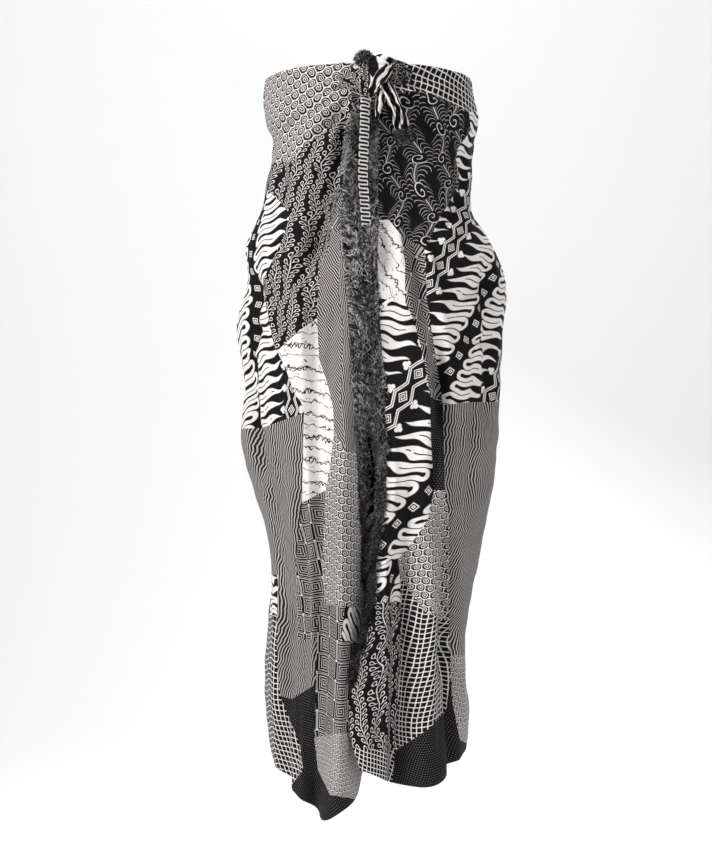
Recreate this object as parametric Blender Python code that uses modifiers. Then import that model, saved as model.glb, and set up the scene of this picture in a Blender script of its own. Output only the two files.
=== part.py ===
# A sarong worn as a strapless dress: one fringed cloth wound round the body and knotted at the bust.
# Metres. X runs to the wearer's left, Y to the back, Z up. The origin is the middle of the top opening.
import math

import bmesh
import bpy
from mathutils import Vector

WALL = 0.0016
PARTING = 0.0003
BUNDLE_PARTING = 0.0005
USUAL_RADIUS = 0.115
HALF_TURN = 180.0
FULL_TURN = 360.0

# The worn cloth's half sizes at each height, from the middle to its four sides.
SECTION_COLUMNS = ("height", "right", "left", "front", "back")
SECTIONS = (
    (0.040, 0.148, 0.145, 0.114, 0.098),
    (-0.010, 0.156, 0.152, 0.120, 0.100),
    (-0.041, 0.160, 0.157, 0.124, 0.101),
    (-0.071, 0.152, 0.160, 0.125, 0.100),
    (-0.101, 0.145, 0.155, 0.122, 0.096),
    (-0.160, 0.153, 0.151, 0.115, 0.089),
    (-0.200, 0.160, 0.150, 0.113, 0.090),
    (-0.250, 0.183, 0.180, 0.119, 0.100),
    (-0.310, 0.183, 0.203, 0.128, 0.117),
    (-0.369, 0.198, 0.199, 0.133, 0.124),
    (-0.459, 0.187, 0.194, 0.135, 0.121),
    (-0.540, 0.192, 0.191, 0.133, 0.114),
    (-0.608, 0.176, 0.184, 0.130, 0.109),
    (-0.668, 0.157, 0.172, 0.126, 0.105),
    (-0.740, 0.147, 0.158, 0.122, 0.102),
    (-0.817, 0.152, 0.144, 0.120, 0.100),
    (-0.870, 0.157, 0.139, 0.120, 0.099),
    (-0.930, 0.157, 0.147, 0.121, 0.098),
    (-1.000, 0.149, 0.144, 0.120, 0.097),
    (-1.120, 0.132, 0.134, 0.114, 0.094),
)

# Where the two free edges hang at the front, across from the middle.
EDGE_COLUMNS = ("height", "right_edge", "left_edge")
EDGES = (
    (0.040, -0.022, 0.016),
    (-0.018, -0.026, 0.014),
    (-0.126, -0.034, 0.011),
    (-0.240, -0.041, 0.010),
    (-0.312, -0.035, 0.010),
    (-0.400, -0.029, 0.015),
    (-0.500, -0.024, 0.020),
    (-0.627, -0.018, 0.021),
    (-0.700, -0.014, 0.010),
    (-0.771, -0.011, 0.002),
    (-0.842, -0.014, -0.012),
    (-0.914, -0.018, -0.028),
    (-0.964, -0.018, -0.027),
    (-1.017, -0.014, -0.012),
    (-1.120, -0.012, 0.004),
)

# The hem's height round the cloth. Turn 0 is the free edge on the wearer's left, 360 the one on the right.
HEM_COLUMNS = ("turn", "height")
HEM = (
    (-30.0, -1.000),
    (0.0, -1.011),
    (16.0, -1.034),
    (33.0, -1.041),
    (46.0, -1.034),
    (62.0, -1.016),
    (90.0, -1.000),
    (135.0, -1.008),
    (180.0, -1.004),
    (225.0, -1.008),
    (270.0, -1.003),
    (296.0, -1.035),
    (315.0, -1.063),
    (335.0, -1.087),
    (350.0, -1.069),
    (356.0, -1.053),
    (360.0, -1.020),
    (390.0, -0.960),
)

# Large folds: a ridge has a positive depth and a trough a negative one, and lean tips it to the wearer's left.
FOLD_COLUMNS = (
    "name", "face", "top", "bottom", "across_top", "across_mid", "across_low",
    "width", "depth_top", "depth_low", "lean",
)
FOLDS = (
    ("right knot crease", "right front", -0.020, -0.330, -0.030, -0.068, -0.103, 0.018, -0.012, -0.018, 0.0),
    ("right knot pleat", "right front", -0.030, -0.190, -0.034, -0.075, -0.121, 0.013, -0.007, -0.003, 0.0),
    ("right arm crease", "right front", -0.060, -0.260, -0.112, -0.130, -0.149, 0.016, -0.006, -0.005, 0.0),
    ("right column", "right front", -0.070, -1.200, -0.042, -0.040, -0.050, 0.036, 0.010, 0.030, 0.1),
    ("right column trough", "right front", -0.200, -1.200, -0.074, -0.068, -0.088, 0.019, -0.010, -0.030, 0.3),
    ("right edge turned in", "right front", -0.430, -1.200, -0.022, -0.006, -0.004, 0.028, -0.006, -0.062, 0.0),
    ("right hip fold", "right front", -0.280, -0.640, -0.166, -0.176, -0.160, 0.016, -0.014, -0.012, 0.0),
    ("right sweep", "right front", -0.500, -0.960, -0.150, -0.128, -0.118, 0.022, -0.010, -0.010, 0.2),
    ("right low fold", "right front", -0.740, -1.200, -0.128, -0.130, -0.120, 0.015, -0.012, -0.016, 0.0),
    ("right belly fold", "right front", -0.300, -0.760, -0.112, -0.106, -0.098, 0.026, 0.008, 0.010, 0.0),
    ("left knot crease", "left front", -0.010, -0.140, 0.020, 0.070, 0.134, 0.014, -0.007, -0.004, 0.0),
    ("left knot pleat", "left front", -0.030, -0.260, 0.016, 0.042, 0.086, 0.015, -0.007, -0.006, 0.0),
    ("left arm crease", "left front", -0.080, -0.250, 0.136, 0.132, 0.116, 0.016, -0.006, -0.006, 0.0),
    ("left key ridge", "left front", -0.170, -0.660, 0.026, 0.078, 0.092, 0.026, 0.010, 0.022, 0.4),
    ("left key trough", "left front", -0.200, -0.900, 0.050, 0.108, 0.110, 0.017, -0.008, -0.024, 0.3),
    ("left flat ridge", "left front", -0.360, -0.740, 0.046, 0.050, 0.054, 0.030, 0.006, 0.010, 0.0),
    ("left dark trough", "left front", -0.600, -1.200, 0.040, 0.047, 0.038, 0.018, -0.014, -0.034, 0.3),
    ("left net ridge", "left front", -0.660, -1.200, 0.078, 0.085, 0.078, 0.030, 0.010, 0.016, 0.0),
    ("left sprig ridge", "left front", -0.700, -1.200, 0.010, -0.010, 0.000, 0.030, 0.008, 0.034, 0.0),
    ("left low trough", "left front", -0.780, -1.200, 0.116, 0.120, 0.126, 0.013, -0.010, -0.015, 0.0),
    ("left hip fold", "left front", -0.240, -0.560, 0.168, 0.176, 0.168, 0.016, -0.012, -0.010, 0.0),
    ("back sweep one", "back", -0.120, -1.200, -0.118, -0.112, -0.104, 0.030, -0.006, -0.016, 0.0),
    ("back sweep two", "back", -0.200, -1.200, -0.062, -0.070, -0.060, 0.030, 0.006, 0.016, 0.0),
    ("back sweep three", "back", -0.160, -1.200, -0.012, -0.022, -0.010, 0.026, -0.006, -0.018, 0.0),
    ("back sweep four", "back", -0.240, -1.200, 0.040, 0.030, 0.042, 0.030, 0.006, 0.016, 0.0),
    ("back sweep five", "back", -0.140, -1.200, 0.086, 0.084, 0.092, 0.026, -0.006, -0.018, 0.0),
    ("back sweep six", "back", -0.260, -1.200, 0.128, 0.116, 0.104, 0.022, 0.008, 0.012, 0.0),
)
FOLD_FADE = 0.070
FOLD_SPREAD = 1.6
TOP_DIP = 0.006

# Stretches of the cloth. The wearer's left front starts at its free edge, and the right front ends at its own.
LEFT_SIDE_TURN = 102.0
RIGHT_SIDE_TURN = 258.0
PANEL_COLUMNS = 20
LEFT_SPLIT = 12
BACK_COLUMNS = 13
CLOTH_ROWS = 27
EDGE_CROWDING = 1.35
TOP_CROWDING = 1.12

# Bundles of gathered cloth in the knot, each drawn along a route. Half width lies across the route as seen
# from the front, and half thick lies front to back.
ROUTE_COLUMNS = ("across", "depth", "height", "half_width", "half_thick")
KNOT_LOOP = (
    (0.056, -0.108, -0.018, 0.0160, 0.0040),
    (0.044, -0.116, -0.014, 0.0165, 0.0070),
    (0.030, -0.127, -0.009, 0.0160, 0.0095),
    (0.018, -0.137, -0.011, 0.0155, 0.0110),
    (0.010, -0.141, -0.023, 0.0145, 0.0110),
    (0.004, -0.138, -0.036, 0.0130, 0.0090),
    (-0.001, -0.128, -0.047, 0.0110, 0.0070),
    (-0.003, -0.115, -0.052, 0.0070, 0.0050),
)
KNOT_SIDE_TAIL = (
    (0.018, -0.122, -0.024, 0.0110, 0.0070),
    (0.025, -0.129, -0.036, 0.0140, 0.0100),
    (0.029, -0.132, -0.050, 0.0120, 0.0095),
    (0.034, -0.131, -0.066, 0.0105, 0.0075),
    (0.040, -0.129, -0.082, 0.0120, 0.0055),
    (0.045, -0.127, -0.097, 0.0135, 0.0040),
)
KNOT_BUNDLE = (
    (-0.009, -0.123, 0.004, 0.0075, 0.0070),
    (-0.010, -0.126, -0.010, 0.0095, 0.0100),
    (-0.010, -0.128, -0.026, 0.0100, 0.0110),
    (-0.009, -0.128, -0.042, 0.0085, 0.0090),
    (-0.008, -0.126, -0.057, 0.0060, 0.0055),
)
KNOT_GATHER = (
    (-0.056, -0.106, -0.031, 0.0160, 0.0030),
    (-0.043, -0.112, -0.030, 0.0165, 0.0060),
    (-0.030, -0.119, -0.028, 0.0150, 0.0085),
    (-0.018, -0.124, -0.028, 0.0120, 0.0085),
    (-0.008, -0.125, -0.028, 0.0080, 0.0060),
)
KNOT_SMALL_TAIL = (
    (0.013, -0.130, -0.042, 0.0050, 0.0050),
    (0.014, -0.133, -0.054, 0.0068, 0.0045),
    (0.012, -0.132, -0.066, 0.0054, 0.0036),
    (0.009, -0.130, -0.084, 0.0016, 0.0014),
)
HANGING_STRIP = (
    (-0.008, -0.128, -0.048, 0.0062, 0.0026),
    (-0.008, -0.136, -0.064, 0.0068, 0.0020),
    (-0.009, -0.140, -0.095, 0.0076, 0.0015),
    (-0.010, -0.142, -0.130, 0.0080, 0.0015),
    (-0.011, -0.143, -0.165, 0.0080, 0.0015),
    (-0.009, -0.143, -0.200, 0.0076, 0.0015),
    (-0.006, -0.142, -0.238, 0.0066, 0.0015),
)
PLEAT_DEPTH = 0.24
ROUND_END = 0.72
KNOT_SEAT = 0.0009
KNOT_REACH = 0.22
KNOT_TURNS = 12
ABOVE_TOP = -0.025
BLOCK_DEPTH = 0.030
EDGE_CLEARANCE = 0.3
ROUTE_SPAN = 0.007
ROUTE_STEP = 0.05
FRONTWARD = Vector((0, -1, 0))

# Fringe along the free edges. A lock leaves a narrow backing, and the fan turns each one in four away from the
# next, so that they hang side by side.
FRINGE_COLUMNS = ("height", "reach", "length")
RIGHT_FRINGE = (
    (-0.060, 0.010, 0.034),
    (-0.200, 0.018, 0.050),
    (-0.320, 0.017, 0.050),
    (-0.450, 0.013, 0.050),
    (-0.640, 0.011, 0.044),
    (-0.760, 0.008, 0.036),
    (-0.960, 0.007, 0.030),
)
LEFT_FRINGE = (
    (-0.060, 0.010, 0.034),
    (-0.200, 0.018, 0.050),
    (-0.320, 0.016, 0.050),
    (-0.450, 0.012, 0.050),
    (-0.620, 0.009, 0.040),
    (-0.860, 0.005, 0.026),
)
FRINGE_PITCH = 0.0150
FRINGE_FAN = (-25.0, 5.0, 35.0, 65.0)
ROOT_SHARE = 0.36
BACKING_WIDTH = 0.0040
BACKING_PARTING = 0.0006
EDGE_STEP = 0.002
EDGE_TURN = 1.5
LOCK_COLUMNS = ("out", "down", "turned", "half")
LOCK = (
    (0.35, 0.04, 40.0, 0.0023),
    (0.85, 0.45, 78.0, 0.0023),
    (1.00, 1.00, 88.0, 0.0008),
)

# The tuft of cut ends that stands above the knot.
TUFT_MIDDLE = Vector((-0.0090, -0.1240, 0.0040))
TUFT_HEAD = Vector((0.0090, 0.0085, 0.0095))
TUFT_SIDES = 9
TUFT_RINGS = 7
TUFT_REACH = 0.0085
TUFT_LOWEST = 0.35
TUFT_COLUMNS = ("share", "droop", "size")
TUFT_LOCK = (
    (0.45, 0.02, 0.80),
    (1.00, 0.22, 0.42),
)

# The short fringes at the ends of the hanging strip and of the side tail.
END_FRINGE_COLUMNS = ("name", "half_width", "locks", "length", "lean")
STRIP_END_FRINGE = ("fringe_strip_end", 0.0065, 4, 0.052, 0.10)
TAIL_END_FRINGE = ("fringe_tail_end", 0.0120, 6, 0.030, 0.35)
LOCK_CROWDING = 0.8
ROOT_MARGIN = 0.18


def table(columns, rows):
    return [dict(zip(columns, row)) for row in rows]


SECTION_ROWS = table(SECTION_COLUMNS, SECTIONS)
EDGE_ROWS = table(EDGE_COLUMNS, EDGES)
HEM_ROWS = table(HEM_COLUMNS, HEM)
FOLD_ROWS = table(FOLD_COLUMNS, FOLDS)
LOCK_ROWS = table(LOCK_COLUMNS, LOCK)
TUFT_ROWS = table(TUFT_COLUMNS, TUFT_LOCK)


def smooth_step(share):
    share = min(1.0, max(0.0, share))
    return share * share * (3 - 2 * share)


def along_table(rows, key, value, at):
    """The value at a place between two rows, on a smooth curve through all of them."""
    keys = [row[key] for row in rows]
    if keys[0] > keys[-1]:
        rows = rows[::-1]
        keys = keys[::-1]
    at = min(keys[-1], max(keys[0], at))
    after = next(i for i in range(1, len(keys)) if at <= keys[i])
    before = after - 1

    def slope(i):
        low, high = max(0, i - 1), min(len(keys) - 1, i + 1)
        return (rows[high][value] - rows[low][value]) / (keys[high] - keys[low])

    span = keys[after] - keys[before]
    t = (at - keys[before]) / span
    start, end = rows[before][value], rows[after][value]
    return (
        start * (2 * t**3 - 3 * t**2 + 1)
        + end * (3 * t**2 - 2 * t**3)
        + slope(before) * span * (t**3 - 2 * t**2 + t)
        + slope(after) * span * (t**3 - t**2)
    )


def section_at(height):
    return {name: along_table(SECTION_ROWS, "height", name, height) for name in SECTION_COLUMNS[1:]}


def half_sizes(section, angle):
    """The half width and half depth on this side of the cloth. Angle 0 is the front, 90 the wearer's left."""
    radians = math.radians(angle)
    width = section["left"] if math.sin(radians) >= 0 else section["right"]
    depth = section["front"] if math.cos(radians) >= 0 else section["back"]
    return width, depth


def front_angle(section, across):
    width = section["left"] if across >= 0 else section["right"]
    return math.degrees(math.asin(max(-0.995, min(0.995, across / width))))


def fold_angle(fold, section, height):
    """Where a fold's line lies at a height, and how fast that place moves as the height falls."""
    share = (fold["top"] - height) / (fold["top"] - fold["bottom"])
    start, middle, end = fold["across_top"], fold["across_mid"], fold["across_low"]
    across = start * (1 - share) * (1 - 2 * share) + 4 * middle * share * (1 - share) + end * share * (2 * share - 1)
    rate = start * (4 * share - 3) + 4 * middle * (1 - 2 * share) + end * (4 * share - 1)
    angle = front_angle(section, across)
    if fold["face"] == "back":
        angle = HALF_TURN - angle
    return angle, rate / (fold["top"] - fold["bottom"])


def fold_push(section, turn, angle, height):
    """How far the folds move a point out from the plain section, and sideways to the wearer's left."""
    out = 0.0
    aside = 0.0
    other_front = "right front" if turn < HALF_TURN else "left front"
    for fold in FOLD_ROWS:
        if fold["face"] == other_front or not fold["bottom"] < height < fold["top"]:
            continue
        line, rate = fold_angle(fold, section, height)
        apart = (angle - line + HALF_TURN) % FULL_TURN - HALF_TURN
        width, depth = half_sizes(section, line)
        radians = math.radians(line)
        radius = math.hypot(width * math.cos(radians), depth * math.sin(radians))
        distance = math.radians(apart) * radius / math.hypot(1, rate)
        if abs(distance) >= FOLD_SPREAD * fold["width"]:
            continue
        swell = math.cos(distance / (FOLD_SPREAD * fold["width"]) * math.pi / 2) ** 2
        share = (fold["top"] - height) / (fold["top"] - fold["bottom"])
        fade = smooth_step((fold["top"] - height) / FOLD_FADE) * smooth_step((height - fold["bottom"]) / FOLD_FADE)
        push = (fold["depth_top"] * (1 - share) + fold["depth_low"] * share) * swell * fade
        out += push
        aside += push * fold["lean"]
    return out, aside


def worn_angle(turn, height, section):
    """The angle of a point of the cloth, which spreads from each free edge to the side of the body."""
    if turn < 90:
        edge = front_angle(section, along_table(EDGE_ROWS, "height", "left_edge", height))
        return turn + edge * (1 - turn / 90)
    if turn > 270:
        edge = front_angle(section, along_table(EDGE_ROWS, "height", "right_edge", height))
        return turn + edge * (1 - (FULL_TURN - turn) / 90)
    return turn


def cloth_point(turn, drop):
    """A point of the cloth's outer face. Drop 0 is the top edge and 1 the hem."""
    hem = along_table(HEM_ROWS, "turn", "height", turn)
    top = -TOP_DIP * math.sin(math.radians(turn)) ** 2
    height = top + (hem - top) * drop
    section = section_at(height)
    angle = worn_angle(turn, height, section)
    radians = math.radians(angle)
    width, depth = half_sizes(section, angle)
    along = Vector((width * math.cos(radians), depth * math.sin(radians), 0)).normalized()
    outward = Vector((along.y, -along.x, 0))
    out, aside = fold_push(section, turn, angle, height)
    base = Vector((width * math.sin(radians), -depth * math.cos(radians), height))
    return base + outward * out + along * aside


def spread(start, end, count, crowding):
    """Numbers from start to end that lie closer together near the start."""
    return [start + (end - start) * (i / count) ** crowding for i in range(count + 1)]


DROPS = spread(0.0, 1.0, CLOTH_ROWS, TOP_CROWDING)


def collection_named(name):
    group = bpy.data.collections.new(name)
    bpy.context.scene.collection.children.link(group)
    return group


def material_named(name, colour, roughness):
    material = bpy.data.materials.new(name)
    material.use_nodes = True
    shader = material.node_tree.nodes["Principled BSDF"]
    shader.inputs["Base Color"].default_value = (*colour, 1.0)
    shader.inputs["Roughness"].default_value = roughness
    shader.inputs["Metallic"].default_value = 0.0
    return material


def object_from(name, shape, material, group):
    mesh = bpy.data.meshes.new(name)
    shape.to_mesh(mesh)
    shape.free()
    mesh.materials.append(material)
    mesh.shade_smooth()
    made = bpy.data.objects.new(name, mesh)
    group.objects.link(made)
    return made


def cloth_panel(name, turns, material, group):
    """One stretch of the cloth, as an open surface that Solidify turns into a wall."""
    shape = bmesh.new()
    rows = [[shape.verts.new(cloth_point(turn, drop)) for turn in turns] for drop in DROPS]
    for upper, lower in zip(rows, rows[1:]):
        for i in range(len(turns) - 1):
            shape.faces.new((upper[i], lower[i], lower[i + 1], upper[i + 1]))
    panel = object_from(name, shape, material, group)
    wall = panel.modifiers.new("wall", "SOLIDIFY")
    wall.thickness = WALL
    wall.offset = -1.0
    wall.use_even_offset = True
    return panel


def add_cutter(target, name, shape, group):
    """Cuts a closed shape out of an object."""
    mesh = bpy.data.meshes.new(name)
    shape.to_mesh(mesh)
    shape.free()
    cutter = bpy.data.objects.new(name, mesh)
    cutter.hide_render = True
    cutter.display_type = "WIRE"
    group.objects.link(cutter)
    cut = target.modifiers.new(name, "BOOLEAN")
    cut.operation = "DIFFERENCE"
    cut.solver = "EXACT"
    cut.object = cutter


def panel_block(turns):
    """The room that one front takes near the knot, from just outside its face to well inside it."""
    rows = [ABOVE_TOP] + [drop for drop in DROPS if drop < KNOT_REACH]
    block = bmesh.new()
    grids = []
    for inward in (-KNOT_SEAT, BLOCK_DEPTH):
        grid = []
        for drop in rows:
            points = [cloth_point(turn, drop) for turn in turns]
            toward_axis = [Vector((-point.x, -point.y, 0)).normalized() for point in points]
            grid.append([block.verts.new(point + way * inward) for point, way in zip(points, toward_axis)])
        grids.append(grid)
    outer, inner = grids
    for i in range(len(rows) - 1):
        for j in range(len(turns) - 1):
            block.faces.new((outer[i][j], outer[i + 1][j], outer[i + 1][j + 1], outer[i][j + 1]))
            block.faces.new((inner[i][j], inner[i][j + 1], inner[i + 1][j + 1], inner[i + 1][j]))
        block.faces.new((outer[i][0], inner[i][0], inner[i + 1][0], outer[i + 1][0]))
        block.faces.new((outer[i][-1], outer[i + 1][-1], inner[i + 1][-1], inner[i][-1]))
    for j in range(len(turns) - 1):
        block.faces.new((outer[0][j], outer[0][j + 1], inner[0][j + 1], inner[0][j]))
        block.faces.new((outer[-1][j], inner[-1][j], inner[-1][j + 1], outer[-1][j + 1]))
    bmesh.ops.recalc_face_normals(block, faces=block.faces)
    return block


def route_station(rows, at):
    """A place on a smooth curve through a route's rows, with the sizes there."""
    after = min(len(rows) - 1, int(at) + 1)
    before = after - 1
    t = at - before

    def blend(name):
        low = rows[max(0, before - 1)][name]
        high = rows[min(len(rows) - 1, after + 1)][name]
        start, end = rows[before][name], rows[after][name]
        start_slope, end_slope = (end - low) / 2, (high - start) / 2
        return (
            start * (2 * t**3 - 3 * t**2 + 1)
            + end * (3 * t**2 - 2 * t**3)
            + start_slope * (t**3 - 2 * t**2 + t)
            + end_slope * (t**3 - t**2)
        )

    return {name: blend(name) for name in ROUTE_COLUMNS}


def place_of(station):
    return Vector((station["across"], station["depth"], station["height"]))


def bundle(route, pleats, grown=0.0):
    """A gathered band of cloth: pleated rings along a route, with round ends."""
    rows = table(ROUTE_COLUMNS, route)
    length = sum((place_of(b) - place_of(a)).length for a, b in zip(rows, rows[1:]))
    steps = max(4, round(length / ROUTE_SPAN))
    stops = [i * (len(rows) - 1) / steps for i in range(steps + 1)]
    sides = 2 * pleats
    shape = bmesh.new()
    rings = []
    for at in stops:
        station = route_station(rows, at)
        middle = place_of(station)
        ahead = place_of(route_station(rows, min(len(rows) - 1, at + ROUTE_STEP)))
        behind = place_of(route_station(rows, max(0, at - ROUTE_STEP)))
        tangent = (ahead - behind).normalized()
        wide = tangent.cross(FRONTWARD).normalized()
        thick = wide.cross(tangent).normalized()
        end = ROUND_END if at in (stops[0], stops[-1]) else 1.0
        if at == stops[0]:
            middle -= tangent * grown
        if at == stops[-1]:
            middle += tangent * grown
        ring = []
        for i in range(sides):
            radians = 2 * math.pi * (i + 0.5) / sides
            radius = end * (1 - PLEAT_DEPTH * (i % 2))
            across = math.cos(radians) * (station["half_width"] * radius + grown)
            through = math.sin(radians) * (station["half_thick"] * radius + grown)
            ring.append(shape.verts.new(middle + wide * across + thick * through))
        rings.append(ring)
    for ring, following in zip(rings, rings[1:]):
        for i in range(sides):
            j = (i + 1) % sides
            shape.faces.new((ring[i], ring[j], following[j], following[i]))
    shape.faces.new(rings[0][::-1])
    shape.faces.new(rings[-1])
    bmesh.ops.recalc_face_normals(shape, faces=shape.faces)
    return shape


def corner_signs(face, middle, across, side):
    signs = []
    for corner in face.verts:
        from_middle = corner.co - middle
        signs.append((math.copysign(1, from_middle.dot(across)), math.copysign(1, from_middle.dot(side))))
    return signs


def draw_lock(shape, root, outward, down, reach, length):
    """One lock of fringe, extruded from a face of its backing out, over and down."""
    side = outward.cross(down).normalized()
    start = root.calc_center_median()
    middle = start
    across = -down
    face = root
    for row in LOCK_ROWS:
        face = bmesh.ops.extrude_discrete_faces(shape, faces=[face])["faces"][0]
        signs = corner_signs(face, middle, across, side)
        turned = math.radians(row["turned"])
        across = outward * math.sin(turned) - down * math.cos(turned)
        middle = start + outward * reach * row["out"] + down * length * row["down"]
        for corner, (upper, right) in zip(face.verts, signs):
            corner.co = middle + (across * upper + side * right) * row["half"]


def backing(stations):
    """A narrow strip with a root face in every other stretch. A station is near, far and inward."""
    shape = bmesh.new()
    rings = []
    for near, far, inward in stations:
        corners = (near, far, far + inward, near + inward)
        rings.append([shape.verts.new(corner) for corner in corners])
    roots = []
    for k, (ring, following) in enumerate(zip(rings, rings[1:])):
        for i in range(4):
            j = (i + 1) % 4
            made = shape.faces.new((ring[i], ring[j], following[j], following[i]))
            if i == 1 and k % 2 == 1:
                roots.append(made)
    shape.faces.new(rings[0][::-1])
    shape.faces.new(rings[-1])
    bmesh.ops.recalc_face_normals(shape, faces=shape.faces)
    return shape, roots


def edge_place(turn, inner_turn, height):
    """The free edge at a height: its corner, the way on past it in the cloth, and the way in through the wall."""
    hem = along_table(HEM_ROWS, "turn", "height", turn)
    corner = cloth_point(turn, height / hem)
    above = cloth_point(turn, height / hem - EDGE_STEP)
    below = cloth_point(turn, height / hem + EDGE_STEP)
    down = (below - above).normalized()
    past = (corner - cloth_point(inner_turn, height / hem)).normalized()
    past = (past - down * past.dot(down)).normalized()
    outward = past.cross(down) if turn > HALF_TURN else down.cross(past)
    return corner, past, outward.normalized(), down


def edge_fringe(name, turn, inner_turn, table_rows, material, group):
    """The fringe along one free edge of the cloth."""
    rows = table(FRINGE_COLUMNS, table_rows)
    top, bottom = rows[0]["height"], rows[-1]["height"]
    count = round((top - bottom) / FRINGE_PITCH)
    heights = [top]
    for k in range(count):
        start = top - (k + 1 - ROOT_SHARE) * FRINGE_PITCH
        heights += [start, start - ROOT_SHARE * FRINGE_PITCH]
    heights.append(heights[-1] - (1 - ROOT_SHARE) * FRINGE_PITCH)
    places = [edge_place(turn, inner_turn, height) for height in heights]
    stations = []
    for corner, past, outward, _ in places:
        stations.append((corner + past * BACKING_PARTING, corner + past * (BACKING_PARTING + BACKING_WIDTH), outward * -2 * WALL))
    shape, roots = backing(stations)
    for k, root in enumerate(roots):
        height = heights[2 * k + 1]
        _, past, outward, down = places[2 * k + 1]
        fan = math.radians(FRINGE_FAN[k % len(FRINGE_FAN)])
        reach = along_table(rows, "height", "reach", height)
        length = along_table(rows, "height", "length", height)
        draw_lock(shape, root, past * math.cos(fan) + outward * math.sin(fan), down, reach, length)
    object_from(name, shape, material, group)


def end_fringe(values, route, material, group):
    """A short fringe on a backing across the end of a route, with locks that lean a little apart."""
    fringe = dict(zip(END_FRINGE_COLUMNS, values))
    rows = table(ROUTE_COLUMNS, route)
    last = place_of(rows[-1])
    down = (last - place_of(route_station(rows, len(rows) - 1 - ROUTE_STEP))).normalized()
    wide = down.cross(FRONTWARD).normalized()
    inward = down.cross(wide).normalized() * 2 * WALL
    start = last + down * BUNDLE_PARTING - wide * fringe["half_width"] - inward / 2
    pitch = wide * 2 * fringe["half_width"] / fringe["locks"]
    places = [start]
    for k in range(fringe["locks"]):
        places += [start + pitch * (k + ROOT_MARGIN), start + pitch * (k + 1 - ROOT_MARGIN)]
    places.append(start + pitch * fringe["locks"])
    shape, roots = backing([(place, place + down * BACKING_WIDTH, inward) for place in places])
    front = inward.normalized() * -1
    for k, root in enumerate(roots):
        from_middle = (k - (fringe["locks"] - 1) / 2) / fringe["locks"]
        straight = (down + wide * fringe["lean"] * from_middle).normalized()
        middle = root.calc_center_median()
        face = root
        for row in LOCK_ROWS:
            face = bmesh.ops.extrude_discrete_faces(shape, faces=[face])["faces"][0]
            signs = corner_signs(face, middle, wide, front)
            middle = middle + straight * fringe["length"] / len(LOCK_ROWS)
            for corner, (aside, forward) in zip(face.verts, signs):
                corner.co = middle + (wide * aside + front * forward) * row["half"] * LOCK_CROWDING
    object_from(fringe["name"], shape, material, group)


def tuft_head(grown):
    head = bmesh.new()
    bmesh.ops.create_uvsphere(head, u_segments=TUFT_SIDES, v_segments=TUFT_RINGS, radius=1.0)
    bmesh.ops.scale(head, vec=TUFT_HEAD + Vector((grown, grown, grown)), verts=head.verts)
    bmesh.ops.translate(head, vec=TUFT_MIDDLE, verts=head.verts)
    return head


def tuft(name, material, group):
    """A round head of thread with short locks that stand out from its upper faces and droop a little."""
    shape = tuft_head(0.0)
    bmesh.ops.recalc_face_normals(shape, faces=shape.faces)
    lowest = TUFT_MIDDLE.z - TUFT_LOWEST * TUFT_HEAD.z
    roots = [face for face in shape.faces if len(face.verts) == 4 and face.calc_center_median().z > lowest]
    for root in roots:
        outward = root.normal.copy()
        start = root.calc_center_median()
        corners = [corner.co - start for corner in root.verts]
        face = root
        for row in TUFT_ROWS:
            face = bmesh.ops.extrude_discrete_faces(shape, faces=[face])["faces"][0]
            middle = start + (outward * row["share"] + Vector((0, 0, -row["droop"]))) * TUFT_REACH
            for corner, from_middle in zip(face.verts, corners):
                corner.co = middle + from_middle * row["size"]
    object_from(name, shape, material, group)


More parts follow.
